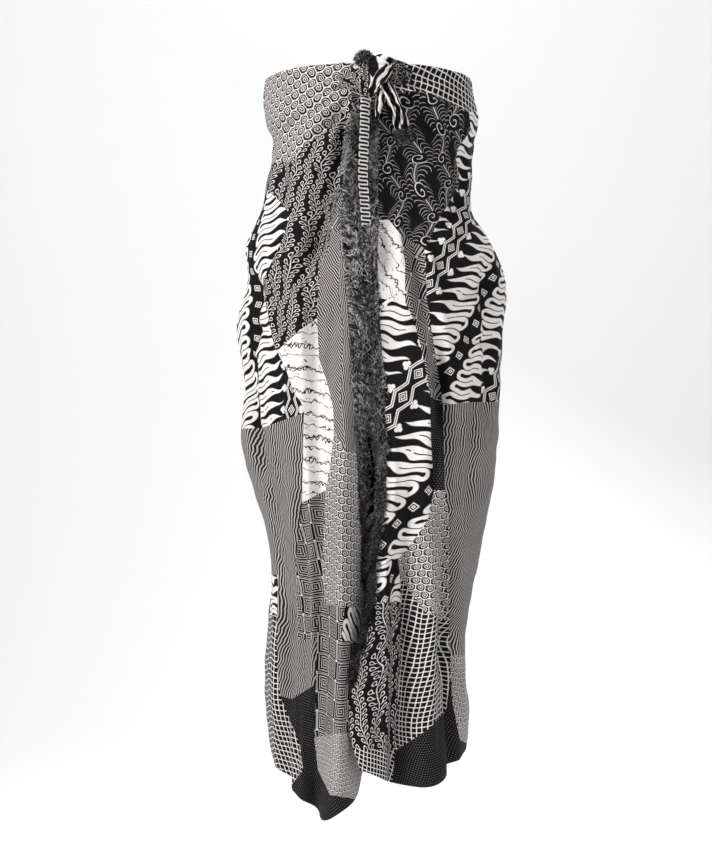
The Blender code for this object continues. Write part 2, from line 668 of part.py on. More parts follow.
def main():
    for old in list(bpy.data.objects):
        bpy.data.objects.remove(old)
    sarong = collection_named("sarong")
    cutters = collection_named("cutters")
    printed = material_named("printed_rayon", (0.35, 0.34, 0.34), 0.8)
    threads = material_named("fringe_thread", (0.12, 0.12, 0.12), 0.9)
    seam_turn = math.degrees(PARTING / USUAL_RADIUS)
    left_turns = spread(0.0, LEFT_SIDE_TURN - seam_turn, PANEL_COLUMNS, EDGE_CROWDING)
    right_turns = spread(FULL_TURN, RIGHT_SIDE_TURN + seam_turn, PANEL_COLUMNS, EDGE_CROWDING)[::-1]
    back_turns = spread(LEFT_SIDE_TURN + seam_turn, RIGHT_SIDE_TURN - seam_turn, BACK_COLUMNS, 1.0)
    split = left_turns[LEFT_SPLIT]
    cloth_panel("left_front", left_turns[:LEFT_SPLIT] + [split - seam_turn], printed, sarong)
    cloth_panel("left_side", [split + seam_turn] + left_turns[LEFT_SPLIT + 1:], printed, sarong)
    cloth_panel("right_front", right_turns, printed, sarong)
    cloth_panel("back", back_turns, printed, sarong)

    left_block_turns = [-EDGE_CLEARANCE] + left_turns[:KNOT_TURNS]
    right_block_turns = right_turns[-KNOT_TURNS:] + [FULL_TURN + EDGE_CLEARANCE]
    made = []
    for name, route, pleats in (
        ("knot_loop", KNOT_LOOP, 8),
        ("knot_side_tail", KNOT_SIDE_TAIL, 7),
        ("knot_gather", KNOT_GATHER, 8),
        ("knot_bundle", KNOT_BUNDLE, 7),
        ("knot_small_tail", KNOT_SMALL_TAIL, 5),
        ("hanging_strip", HANGING_STRIP, 4),
    ):
        piece = object_from(name, bundle(route, pleats), printed, sarong)
        add_cutter(piece, name + "_off_right_front", panel_block(right_block_turns), cutters)
        add_cutter(piece, name + "_off_left_front", panel_block(left_block_turns), cutters)
        if name == "knot_bundle":
            add_cutter(piece, name + "_off_tuft", tuft_head(BUNDLE_PARTING), cutters)
        for other, other_route, other_pleats in made:
            add_cutter(piece, name + "_off_" + other, bundle(other_route, other_pleats, BUNDLE_PARTING), cutters)
        made.append((name, route, pleats))

    edge_fringe("fringe_right_edge", FULL_TURN, FULL_TURN - EDGE_TURN, RIGHT_FRINGE, threads, sarong)
    edge_fringe("fringe_left_edge", 0.0, EDGE_TURN, LEFT_FRINGE, threads, sarong)
    tuft("fringe_tuft", threads, sarong)
    end_fringe(STRIP_END_FRINGE, HANGING_STRIP, threads, sarong)
    end_fringe(TAIL_END_FRINGE, KNOT_SIDE_TAIL, threads, sarong)


main()
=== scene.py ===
import math

import bmesh
import bpy
import numpy as np
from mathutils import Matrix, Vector, noise


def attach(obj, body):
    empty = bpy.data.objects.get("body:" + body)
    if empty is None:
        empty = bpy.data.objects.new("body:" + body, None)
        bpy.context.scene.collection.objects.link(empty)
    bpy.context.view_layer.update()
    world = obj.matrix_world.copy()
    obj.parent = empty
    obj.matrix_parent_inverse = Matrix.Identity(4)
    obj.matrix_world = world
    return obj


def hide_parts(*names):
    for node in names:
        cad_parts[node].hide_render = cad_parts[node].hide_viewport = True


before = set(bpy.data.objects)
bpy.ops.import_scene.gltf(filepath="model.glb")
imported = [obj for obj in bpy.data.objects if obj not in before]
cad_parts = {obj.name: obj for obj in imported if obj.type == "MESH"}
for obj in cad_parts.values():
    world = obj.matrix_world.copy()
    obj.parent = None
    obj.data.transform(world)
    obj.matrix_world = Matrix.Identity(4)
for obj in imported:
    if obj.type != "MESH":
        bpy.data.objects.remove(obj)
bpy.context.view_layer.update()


# Camera, floor and light. The camera stands three metres off.

viewValues = {
    "cameraPlace": (-0.021, -3.0, -0.517),
    "lens": 85.5,
    "sensorWidth": 36,
    "pictureHeight": 846,
    "worldStrength": 0.19,
}
clothMiddle = (0, 0, -0.5)
lights = {  # place, size, power and what it points at
    "keyLight": ((-2.3, -2.0, 1.2), 1.1, 101, clothMiddle),
    "fillLight": ((2.1, -2.2, 0.1), 2.4, 29, clothMiddle),
    "topLight": ((0.2, -0.4, 2.4), 1.6, 14, clothMiddle),
    "backLight": ((1.6, 2.9, 1.0), 2.0, 42, clothMiddle),
    "wallLight": ((0.0, 1.3, 2.8), 2.4, 66, (0, 4.2, -0.6)),
}
backdropValues = {
    "floorHeight": -1.42,
    "halfLength": 7.0,
    "halfWidth": 9.0,
    "bendStart": 2.6,
    "bendRadius": 1.6,
    "paper": (0.96, 0.96, 0.96, 1),
    "roughness": 0.9,
    "specular": 0.1,
}


def softLight(name, place, size, power, target):
    light = bpy.data.lights.new(name, "AREA")
    light.shape = "SQUARE"
    light.size = size
    light.energy = power
    lamp = bpy.data.objects.new(name, light)
    bpy.context.scene.collection.objects.link(lamp)
    lamp.location = place
    direction = Vector(target) - lamp.location
    lamp.rotation_euler = direction.to_track_quat("-Z", "Y").to_euler()


def buildCamera():
    camera = bpy.data.objects.new("camera", bpy.data.cameras.new("camera"))
    bpy.context.scene.collection.objects.link(camera)
    camera.location = viewValues["cameraPlace"]
    camera.rotation_euler = (math.radians(90), 0, 0)
    camera.data.lens = viewValues["lens"]
    camera.data.sensor_width = viewValues["sensorWidth"]
    bpy.context.scene.camera = camera
    bpy.context.scene.view_settings.view_transform = "Standard"


def buildWorld():
    world = bpy.data.worlds.new("studio")
    bpy.context.scene.world = world
    world.use_nodes = True
    background = world.node_tree.nodes["Background"]
    background.inputs["Color"].default_value = (1, 1, 1, 1)
    background.inputs["Strength"].default_value = viewValues["worldStrength"]


def buildBackdrop(values):
    # the floor runs up into a backdrop through a wide curve
    bpy.ops.object.select_all(action="DESELECT")
    bpy.ops.mesh.primitive_grid_add(x_subdivisions=2, y_subdivisions=60, size=2, location=(0, 0, 0))
    floor = bpy.context.object
    floor.name = "studioFloor"
    start, radius = values["bendStart"], values["bendRadius"]
    quarter = radius * math.pi / 2
    for corner in floor.data.vertices:
        along = corner.co.y * values["halfLength"]
        bend = min(max(along - start, 0), quarter)
        above = max(along - start - quarter, 0)
        corner.co = (
            corner.co.x * values["halfWidth"],
            min(along, start) + radius * math.sin(bend / radius),
            values["floorHeight"] + radius * (1 - math.cos(bend / radius)) + above,
        )
    bpy.ops.object.shade_smooth()
    paper = bpy.data.materials.new("studioPaper")
    paper.use_nodes = True
    shader = paper.node_tree.nodes["Principled BSDF"]
    shader.inputs["Base Color"].default_value = values["paper"]
    shader.inputs["Roughness"].default_value = values["roughness"]
    shader.inputs["Specular IOR Level"].default_value = values["specular"]
    floor.data.materials.append(paper)


buildCamera()
for name, values in lights.items():
    softLight(name, *values)
buildWorld()
buildBackdrop(backdropValues)
print("view built")


# The worn form of the cloth, in the frame's own sizes. Turn 0 is the free edge on the wearer's left and 360
# the one on the right. Drop 0 is the top edge and 1 the hem.

def named(columns, rows):
    return {name: np.array([row[i] for row in rows]) for i, name in enumerate(columns)}


sections = named(("height", "right", "left", "front", "back"), (
    (0.040, 0.148, 0.145, 0.114, 0.098),
    (-0.010, 0.156, 0.152, 0.120, 0.100),
    (-0.041, 0.160, 0.157, 0.124, 0.101),
    (-0.071, 0.152, 0.160, 0.125, 0.100),
    (-0.101, 0.145, 0.155, 0.122, 0.096),
    (-0.160, 0.153, 0.151, 0.115, 0.089),
    (-0.200, 0.160, 0.150, 0.113, 0.090),
    (-0.250, 0.183, 0.180, 0.119, 0.100),
    (-0.310, 0.183, 0.203, 0.128, 0.117),
    (-0.369, 0.198, 0.199, 0.133, 0.124),
    (-0.459, 0.187, 0.194, 0.135, 0.121),
    (-0.540, 0.192, 0.191, 0.133, 0.114),
    (-0.608, 0.176, 0.184, 0.130, 0.109),
    (-0.668, 0.157, 0.172, 0.126, 0.105),
    (-0.740, 0.147, 0.158, 0.122, 0.102),
    (-0.817, 0.152, 0.144, 0.120, 0.100),
    (-0.870, 0.157, 0.139, 0.120, 0.099),
    (-0.930, 0.157, 0.147, 0.121, 0.098),
    (-1.000, 0.149, 0.144, 0.120, 0.097),
    (-1.120, 0.132, 0.134, 0.114, 0.094),
))
edges = named(("height", "rightEdge", "leftEdge"), (
    (0.040, -0.022, 0.016),
    (-0.018, -0.026, 0.014),
    (-0.126, -0.034, 0.011),
    (-0.240, -0.041, 0.010),
    (-0.312, -0.035, 0.010),
    (-0.400, -0.029, 0.015),
    (-0.500, -0.024, 0.020),
    (-0.627, -0.018, 0.021),
    (-0.700, -0.014, 0.010),
    (-0.771, -0.011, 0.002),
    (-0.842, -0.014, -0.012),
    (-0.914, -0.018, -0.028),
    (-0.964, -0.018, -0.027),
    (-1.017, -0.014, -0.012),
    (-1.120, -0.012, 0.004),
))
hem = named(("turn", "height"), (
    (-30, -1.000), (0, -1.011), (16, -1.034), (33, -1.041), (46, -1.034), (62, -1.016),
    (90, -1.000), (135, -1.008), (180, -1.004), (225, -1.008), (270, -1.003), (296, -1.035),
    (315, -1.063), (335, -1.087), (350, -1.069), (356, -1.053), (360, -1.020), (390, -0.960),
))

# large folds: face, top, bottom, where across at the top, middle and bottom, width, depth at the top and
# bottom, and lean
largeFolds = (
    ("right", -0.020, -0.330, -0.030, -0.068, -0.103, 0.018, -0.012, -0.018, 0.0),
    ("right", -0.030, -0.190, -0.034, -0.075, -0.121, 0.013, -0.007, -0.003, 0.0),
    ("right", -0.060, -0.260, -0.112, -0.130, -0.149, 0.016, -0.006, -0.005, 0.0),
    ("right", -0.070, -1.200, -0.042, -0.040, -0.050, 0.036, 0.010, 0.030, 0.1),
    ("right", -0.200, -1.200, -0.074, -0.068, -0.088, 0.019, -0.010, -0.030, 0.3),
    ("right", -0.430, -1.200, -0.022, -0.006, -0.004, 0.028, -0.006, -0.062, 0.0),
    ("right", -0.280, -0.640, -0.166, -0.176, -0.160, 0.016, -0.014, -0.012, 0.0),
    ("right", -0.500, -0.960, -0.150, -0.128, -0.118, 0.022, -0.010, -0.010, 0.2),
    ("right", -0.740, -1.200, -0.128, -0.130, -0.120, 0.015, -0.012, -0.016, 0.0),
    ("right", -0.300, -0.760, -0.112, -0.106, -0.098, 0.026, 0.008, 0.010, 0.0),
    ("left", -0.010, -0.140, 0.020, 0.070, 0.134, 0.014, -0.007, -0.004, 0.0),
    ("left", -0.030, -0.260, 0.016, 0.042, 0.086, 0.015, -0.007, -0.006, 0.0),
    ("left", -0.080, -0.250, 0.136, 0.132, 0.116, 0.016, -0.006, -0.006, 0.0),
    ("left", -0.170, -0.660, 0.026, 0.078, 0.092, 0.026, 0.010, 0.022, 0.4),
    ("left", -0.200, -0.900, 0.050, 0.108, 0.110, 0.017, -0.008, -0.024, 0.3),
    ("left", -0.360, -0.740, 0.046, 0.050, 0.054, 0.030, 0.006, 0.010, 0.0),
    ("left", -0.600, -1.200, 0.040, 0.047, 0.038, 0.018, -0.014, -0.034, 0.3),
    ("left", -0.660, -1.200, 0.078, 0.085, 0.078, 0.030, 0.010, 0.016, 0.0),
    ("left", -0.700, -1.200, 0.010, -0.010, 0.000, 0.030, 0.008, 0.034, 0.0),
    ("left", -0.780, -1.200, 0.116, 0.120, 0.126, 0.013, -0.010, -0.015, 0.0),
    ("left", -0.240, -0.560, 0.168, 0.176, 0.168, 0.016, -0.012, -0.010, 0.0),
    ("back", -0.120, -1.200, -0.118, -0.112, -0.104, 0.030, -0.006, -0.016, 0.0),
    ("back", -0.200, -1.200, -0.062, -0.070, -0.060, 0.030, 0.006, 0.016, 0.0),
    ("back", -0.160, -1.200, -0.012, -0.022, -0.010, 0.026, -0.006, -0.018, 0.0),
    ("back", -0.240, -1.200, 0.040, 0.030, 0.042, 0.030, 0.006, 0.016, 0.0),
    ("back", -0.140, -1.200, 0.086, 0.084, 0.092, 0.026, -0.006, -0.018, 0.0),
    ("back", -0.260, -1.200, 0.128, 0.116, 0.104, 0.022, 0.008, 0.012, 0.0),
)

# fine creases, as seen from the front or from behind: where each starts, passes and ends (across, height),
# its half width, and its depth, which is less than nothing for a trough
fineCreases = {
    "front": (
        ((-0.037, -0.085), (-0.056, -0.190), (-0.096, -0.315), 0.0105, -0.0110),
        ((0.050, -0.225), (0.072, -0.340), (0.096, -0.480), 0.0100, -0.0100),
        ((0.070, -0.225), (0.094, -0.330), (0.116, -0.440), 0.0080, 0.0040),
        ((-0.104, -0.540), (-0.100, -0.780), (-0.106, -1.050), 0.0095, -0.0080),
        ((-0.084, -0.600), (-0.079, -0.800), (-0.084, -1.060), 0.0080, 0.0040),
        ((-0.056, -0.540), (-0.060, -0.760), (-0.062, -1.070), 0.0075, -0.0064),
        ((-0.036, -0.480), (-0.034, -0.700), (-0.040, -1.060), 0.0090, 0.0040),
        ((-0.176, -0.440), (-0.166, -0.540), (-0.134, -0.640), 0.0080, -0.0046),
        ((-0.150, -0.430), (-0.138, -0.560), (-0.114, -0.690), 0.0090, 0.0036),
        ((-0.172, -0.300), (-0.150, -0.330), (-0.128, -0.330), 0.0070, -0.0040),
        ((-0.180, -0.370), (-0.146, -0.384), (-0.104, -0.366), 0.0070, -0.0036),
        ((-0.110, -0.300), (-0.098, -0.400), (-0.092, -0.500), 0.0090, 0.0034),
        ((0.102, -0.400), (0.100, -0.500), (0.090, -0.640), 0.0085, -0.0090),
        ((0.076, -0.250), (0.084, -0.380), (0.078, -0.560), 0.0080, 0.0036),
        ((0.060, -0.600), (0.054, -0.780), (0.056, -1.000), 0.0105, -0.0095),
        ((0.084, -0.640), (0.086, -0.800), (0.084, -0.980), 0.0090, 0.0042),
        ((0.112, -0.640), (0.108, -0.800), (0.114, -1.000), 0.0065, -0.0046),
        ((0.030, -0.600), (0.022, -0.780), (0.024, -1.010), 0.0090, 0.0036),
        ((0.152, -0.420), (0.150, -0.540), (0.132, -0.700), 0.0080, -0.0044),
        ((0.176, -0.300), (0.150, -0.330), (0.120, -0.340), 0.0070, -0.0040),
        ((0.186, -0.400), (0.158, -0.398), (0.128, -0.380), 0.0070, -0.0036),
        ((0.130, -0.190), (0.112, -0.230), (0.080, -0.252), 0.0070, -0.0040),
        ((-0.050, -0.110), (-0.066, -0.190), (-0.084, -0.300), 0.0070, 0.0030),
        ((-0.046, -0.300), (-0.058, -0.400), (-0.060, -0.520), 0.0060, -0.0036),
        ((-0.020, -0.020), (-0.070, -0.045), (-0.140, -0.055), 0.0045, -0.0022),
        ((-0.022, -0.028), (-0.062, -0.062), (-0.125, -0.100), 0.0050, 0.0024),
        ((-0.024, -0.036), (-0.058, -0.080), (-0.110, -0.135), 0.0045, -0.0026),
        ((-0.026, -0.045), (-0.052, -0.100), (-0.090, -0.170), 0.0050, 0.0026),
        ((-0.028, -0.052), (-0.045, -0.115), (-0.070, -0.200), 0.0045, -0.0028),
        ((-0.030, -0.060), (-0.040, -0.130), (-0.052, -0.220), 0.0045, 0.0022),
        ((-0.018, -0.012), (-0.055, -0.020), (-0.110, -0.018), 0.0035, -0.0014),
        ((-0.020, -0.016), (-0.060, -0.032), (-0.120, -0.038), 0.0035, 0.0014),
        ((-0.135, -0.140), (-0.110, -0.180), (-0.080, -0.235), 0.0080, -0.0022),
        ((-0.160, -0.250), (-0.120, -0.280), (-0.060, -0.290), 0.0090, 0.0022),
        ((-0.185, -0.330), (-0.150, -0.345), (-0.110, -0.390), 0.0080, -0.0028),
        ((-0.190, -0.430), (-0.160, -0.415), (-0.120, -0.440), 0.0070, 0.0022),
        ((-0.180, -0.520), (-0.140, -0.560), (-0.100, -0.650), 0.0090, -0.0026),
        ((-0.120, -0.420), (-0.090, -0.560), (-0.096, -0.700), 0.0080, 0.0026),
        ((-0.145, -0.660), (-0.128, -0.760), (-0.120, -0.900), 0.0060, -0.0026),
        ((-0.080, -0.700), (-0.070, -0.850), (-0.074, -1.040), 0.0050, -0.0030),
        ((-0.048, -0.560), (-0.040, -0.760), (-0.044, -1.020), 0.0060, 0.0028),
        ((-0.060, -0.300), (-0.052, -0.420), (-0.056, -0.560), 0.0060, -0.0022),
        ((-0.105, -0.880), (-0.100, -0.960), (-0.104, -1.050), 0.0060, 0.0030),
        ((0.018, -0.016), (0.060, -0.022), (0.120, -0.020), 0.0035, -0.0014),
        ((0.020, -0.028), (0.070, -0.048), (0.140, -0.062), 0.0045, 0.0022),
        ((0.018, -0.040), (0.062, -0.074), (0.125, -0.118), 0.0045, -0.0024),
        ((0.016, -0.052), (0.050, -0.098), (0.100, -0.168), 0.0050, 0.0024),
        ((0.014, -0.064), (0.038, -0.122), (0.070, -0.205), 0.0045, -0.0024),
        ((0.012, -0.080), (0.024, -0.150), (0.044, -0.240), 0.0045, 0.0022),
        ((0.140, -0.150), (0.120, -0.200), (0.080, -0.240), 0.0080, -0.0024),
        ((0.150, -0.260), (0.110, -0.300), (0.070, -0.310), 0.0090, 0.0022),
        ((0.185, -0.330), (0.160, -0.350), (0.120, -0.420), 0.0080, -0.0026),
        ((0.190, -0.450), (0.170, -0.500), (0.150, -0.600), 0.0090, 0.0026),
        ((0.060, -0.340), (0.068, -0.440), (0.064, -0.560), 0.0080, -0.0020),
        ((0.130, -0.480), (0.130, -0.600), (0.120, -0.740), 0.0070, -0.0026),
        ((0.030, -0.500), (0.034, -0.600), (0.028, -0.700), 0.0060, 0.0022),
        ((0.016, -0.740), (0.016, -0.860), (0.010, -1.000), 0.0060, -0.0030),
        ((-0.012, -0.820), (-0.012, -0.900), (-0.002, -0.990), 0.0050, 0.0026),
        ((0.066, -0.720), (0.064, -0.860), (0.060, -1.020), 0.0060, 0.0030),
        ((0.100, -0.780), (0.102, -0.880), (0.100, -1.010), 0.0055, -0.0028),
        ((0.136, -0.780), (0.134, -0.880), (0.138, -0.980), 0.0050, 0.0024),
    ),
    "back": (
        ((-0.060, -0.640), (-0.064, -0.800), (-0.058, -1.000), 0.0075, -0.0050),
        ((0.084, -0.600), (0.080, -0.780), (0.086, -1.000), 0.0075, -0.0050),
        ((0.024, -0.560), (0.020, -0.760), (0.018, -1.000), 0.0080, 0.0040),
        ((-0.120, -0.030), (-0.060, -0.060), (0.020, -0.050), 0.0080, -0.0020),
        ((0.130, -0.060), (0.070, -0.110), (-0.010, -0.120), 0.0080, 0.0022),
        ((-0.130, -0.110), (-0.070, -0.160), (0.010, -0.165), 0.0090, 0.0026),
        ((0.125, -0.150), (0.060, -0.200), (-0.020, -0.190), 0.0090, -0.0028),
        ((-0.140, -0.220), (-0.080, -0.240), (-0.010, -0.225), 0.0080, -0.0026),
        ((0.150, -0.240), (0.090, -0.270), (0.020, -0.255), 0.0080, 0.0022),
        ((-0.090, -0.330), (-0.092, -0.520), (-0.082, -0.760), 0.0090, 0.0026),
        ((-0.040, -0.380), (-0.040, -0.600), (-0.034, -0.880), 0.0080, -0.0026),
        ((0.010, -0.400), (0.008, -0.640), (0.014, -0.960), 0.0080, 0.0028),
        ((0.060, -0.350), (0.060, -0.560), (0.066, -0.820), 0.0080, -0.0026),
        ((0.104, -0.420), (0.104, -0.640), (0.100, -0.900), 0.0080, 0.0024),
        ((-0.130, -0.440), (-0.130, -0.640), (-0.120, -0.900), 0.0080, -0.0026),
        ((-0.020, -0.700), (-0.016, -0.850), (-0.022, -1.000), 0.0060, 0.0026),
        ((0.036, -0.740), (0.040, -0.860), (0.036, -1.000), 0.0060, -0.0026),
    ),
}

clothValues = {
    "thickness": 0.0008,
    "frontColumns": 124,
    "backColumns": 112,
    "rows": 290,
    "rowCrowding": 1.04,
    "leftSeam": 102.0,
    "rightSeam": 258.0,
    "edgeCrowding": 1.15,
    "foldFade": 0.070,
    "foldSpread": 1.6,
    "topDip": 0.006,
    "rumple": 0.0011,
    "rumpleSize": 0.030,
    "creaseScale": 2.0,
    "creaseSteps": 60,
    "creaseReach": 3,
    "frontLimit": 0.15,  # a place belongs to the front where its outward direction has less depth than this
}

# gathers that run out from the knot: side, where they start (across, height), reach, pleats a radian, depth
gathers = (
    (-1, (-0.010, -0.026), 0.110, 17.0, 0.0034),
    (-1, (-0.014, -0.040), 0.230, 8.0, 0.0036),
    (1, (0.014, -0.020), 0.110, 15.0, 0.0034),
    (1, (0.014, -0.034), 0.210, 7.0, 0.0036),
)
gatherValues = {
    "wander": 1.6, "wanderRate": 3.7, "wanderStart": 1.1, "drift": 9, "clearance": 0.035, "overlap": 0.01,
}


def curveThrough(rows, key, value, at):
    keys, values = rows[key], rows[value]
    if keys[0] > keys[-1]:
        keys, values = keys[::-1], values[::-1]
    low = np.maximum(np.arange(len(keys)) - 1, 0)
    high = np.minimum(np.arange(len(keys)) + 1, len(keys) - 1)
    slopes = (values[high] - values[low]) / (keys[high] - keys[low])
    at = np.clip(at, keys[0], keys[-1])
    after = np.clip(np.searchsorted(keys, at), 1, len(keys) - 1)
    before = after - 1
    span = keys[after] - keys[before]
    t = (at - keys[before]) / span
    return (
        values[before] * (2 * t**3 - 3 * t**2 + 1)
        + values[after] * (3 * t**2 - 2 * t**3)
        + slopes[before] * span * (t**3 - 2 * t**2 + t)
        + slopes[after] * span * (t**3 - t**2)
    )


def smoothStep(share):
    share = np.clip(share, 0, 1)
    return share * share * (3 - 2 * share)


def throughThree(start, middle, end, t):
    return start * (1 - t) * (1 - 2 * t) + 4 * middle * t * (1 - t) + end * t * (2 * t - 1)


def halfSizes(size, angle):
    radians = np.radians(angle)
    width = np.where(np.sin(radians) >= 0, size["left"], size["right"])
    depth = np.where(np.cos(radians) >= 0, size["front"], size["back"])
    return width, depth


def frontAngle(size, across):
    width = np.where(across >= 0, size["left"], size["right"])
    return np.degrees(np.arcsin(np.clip(across / width, -0.995, 0.995)))


def foldPush(size, turn, angle, height):
    out = np.zeros_like(height)
    aside = np.zeros_like(height)
    for face, top, bottom, start, middle, end, foldWidth, depthTop, depthLow, lean in largeFolds:
        share = (top - height) / (top - bottom)
        across = throughThree(start, middle, end, share)
        slope = start * (4 * share - 3) + 4 * middle * (1 - 2 * share) + end * (4 * share - 1)
        rate = slope / (top - bottom)
        line = frontAngle(size, across)
        if face == "back":
            line = 180 - line
        apart = (angle - line + 180) % 360 - 180
        width, depth = halfSizes(size, line)
        radians = np.radians(line)
        radius = np.hypot(width * np.cos(radians), depth * np.sin(radians))
        distance = np.radians(apart) * radius / np.hypot(1, rate)
        near = np.clip(np.abs(distance) / (clothValues["foldSpread"] * foldWidth), 0, 1)
        swell = np.cos(near * math.pi / 2) ** 2
        started = smoothStep((top - height) / clothValues["foldFade"])
        ended = smoothStep((height - bottom) / clothValues["foldFade"])
        push = (depthTop * (1 - share) + depthLow * share) * swell * started * ended
        if face == "right":
            push = np.where(turn > 180, push, 0)
        if face == "left":
            push = np.where(turn < 180, push, 0)
        out += push
        aside += push * lean
    return out, aside


def clothForm(turn, drop):
    hemHeight = curveThrough(hem, "turn", "height", turn)
    top = -clothValues["topDip"] * np.sin(np.radians(turn)) ** 2
    height = top + (hemHeight - top) * drop
    sides = ("right", "left", "front", "back")
    size = {side: curveThrough(sections, "height", side, height) for side in sides}
    leftEdge = frontAngle(size, curveThrough(edges, "height", "leftEdge", height))
    rightEdge = frontAngle(size, curveThrough(edges, "height", "rightEdge", height))
    angle = turn + np.where(turn < 90, leftEdge * (1 - turn / 90), 0)
    angle = angle + np.where(turn > 270, rightEdge * (1 - (360 - turn) / 90), 0)
    radians = np.radians(angle)
    width, depth = halfSizes(size, angle)
    along = np.stack([width * np.cos(radians), depth * np.sin(radians), np.zeros_like(height)], -1)
    along /= np.linalg.norm(along, axis=-1, keepdims=True)
    outward = np.stack([along[..., 1], -along[..., 0], np.zeros_like(height)], -1)
    out, aside = foldPush(size, turn, angle, height)
    base = np.stack([width * np.sin(radians), -depth * np.cos(radians), height], -1)
    return base + outward * out[..., None] + along * aside[..., None], outward


def creasePush(places, creases):
    push = np.zeros(places.shape[:-1])
    flat = places[..., (0, 2)]
    for start, middle, end, width, depth in creases:
        start, middle, end = np.array(start), np.array(middle), np.array(end)
        reach = clothValues["creaseReach"] * width
        low = np.minimum(np.minimum(start, middle), end) - reach
        high = np.maximum(np.maximum(start, middle), end) + reach
        inside = np.all((flat > low) & (flat < high), axis=-1)
        if not inside.any():
            continue
        points = flat[inside]
        nearest = np.full(len(points), np.inf)
        swell = np.zeros(len(points))
        for t in np.linspace(0, 1, clothValues["creaseSteps"]):
            distance = np.hypot(*(points - throughThree(start, middle, end, t)).T)
            closer = distance < nearest
            nearest[closer] = distance[closer]
            swell[closer] = math.sin(math.pi * (0.04 + 0.92 * t)) ** 0.7  # swells in from both ends
        push[inside] += depth * swell * np.exp(-(nearest / width) ** 2)
    return push


def gatherPush(places, turn):
    push = np.zeros(places.shape[:-1])
    wander, clearance, overlap = (gatherValues[name] for name in ("wander", "clearance", "overlap"))
    for hand, start, reach, pleats, depth in gathers:
        across = (places[..., 0] - start[0]) * hand
        down = places[..., 2] - start[1]
        distance = np.hypot(across, down)
        around = np.arctan2(down, across)
        bent = wander * np.sin(around * gatherValues["wanderRate"] + gatherValues["wanderStart"])
        wave = np.cos(around * pleats + bent + distance * gatherValues["drift"])
        fade = smoothStep(distance / clearance) * np.exp(-((distance / reach) ** 2))
        fade = fade * smoothStep((across + overlap) / (2 * overlap))
        own = turn > 270 if hand < 0 else turn < 90
        push += np.where(own, depth * wave * fade, 0)
    return push


def clothPlaces(turn, drop):
    places, outward = clothForm(turn, drop)
    front = outward[..., 1] < clothValues["frontLimit"]
    ahead, behind = (creasePush(places, fineCreases[face]) for face in ("front", "back"))
    creases = np.where(front, ahead, behind)
    push = creases * clothValues["creaseScale"] + gatherPush(places, turn)
    size, amount = clothValues["rumpleSize"], clothValues["rumple"]
    rumple = np.array([noise.noise(Vector(p) / size) for p in places.reshape(-1, 3)]).reshape(push.shape)
    push = push + rumple * amount * 2
    return places + outward * push[..., None]


def spread(start, end, count, crowding):
    return start + (end - start) * (np.arange(count + 1) / count) ** crowding


# Signals: sums and shapes worked out in shader nodes.

class Signal:
    def __init__(self, tree, socket):
        self.tree = tree
        self.socket = socket

    def run(self, operation, *others, clamp=False):
        node = self.tree.nodes.new("ShaderNodeMath")
        node.operation = operation
        node.use_clamp = clamp
        for place, value in enumerate((self,) + others):
            if isinstance(value, Signal):
                self.tree.links.new(value.socket, node.inputs[place])
            else:
                node.inputs[place].default_value = value
        return Signal(self.tree, node.outputs[0])

    def __add__(self, other):
        return self.run("ADD", other)

    def __sub__(self, other):
        return self.run("SUBTRACT", other)

    def __mul__(self, other):
        return self.run("MULTIPLY", other)

    def __truediv__(self, other):
        return self.run("DIVIDE", other)

    def fract(self):
        return self.run("FRACT")

    def floor(self):
        return self.run("FLOOR")

    def size(self):
        return self.run("ABSOLUTE")

    def most(self, other):
        return self.run("MAXIMUM", other)

    def odd(self):
        return (self * 0.5).fract().run("GREATER_THAN", 0.25)

    def cell(self):
        return self.fract() - 0.5

    def wave(self):
        return (self * (2 * math.pi)).run("SINE")

    def away(self, other):
        return (self * self + other * other).run("SQRT")

    def turn(self, across):
        return self.run("ARCTAN2", across) / (2 * math.pi)

    def under(self, limit, soft=0.05):
        return ((self * -1 + limit) / soft + 0.5).run("MULTIPLY", 1.0, clamp=True)

    def over(self, limit, soft=0.05):
        return ((self - limit) / soft + 0.5).run("MULTIPLY", 1.0, clamp=True)

    def cloud(self, other, scale, detail=1.0):
        join = self.tree.nodes.new("ShaderNodeCombineXYZ")
        self.tree.links.new(self.socket, join.inputs["X"])
        self.tree.links.new(other.socket, join.inputs["Y"])
        texture = self.tree.nodes.new("ShaderNodeTexNoise")
        texture.inputs["Scale"].default_value = scale
        texture.inputs["Detail"].default_value = detail
        self.tree.links.new(join.outputs[0], texture.inputs["Vector"])
        return Signal(self.tree, texture.outputs["Fac"]) - 0.5


# Motifs. Each is drawn on the flat cloth in its own unit, and gives the share of white from 0 to 1.

def drawSpiralCells(u, v):
    # a spiral in each cell of a hexagon net
    rowPitch, coils, spiralEdge, netLine = 0.866, 5.2, 0.35, 0.455
    rise = v / rowPitch
    x = (u + rise.floor().odd() * 0.5).cell()
    y = rise.cell() * rowPitch
    radius = x.away(y)
    spiral = (radius * coils - y.turn(x)).cell().size().under(0.20, 0.12)
    wall = x.size().most(x.size() * 0.5 + y.size() * rowPitch)
    return (spiral * radius.under(spiralEdge, 0.04)).most(wall.over(netLine, 0.04))


def drawLattice(u, v):
    wobble = u.cloud(v, 1.3) * 0.16
    x = (u + wobble).cell().size()
    y = (v - wobble).cell().size()
    return x.most(y).over(0.412, 0.06) * 0.94


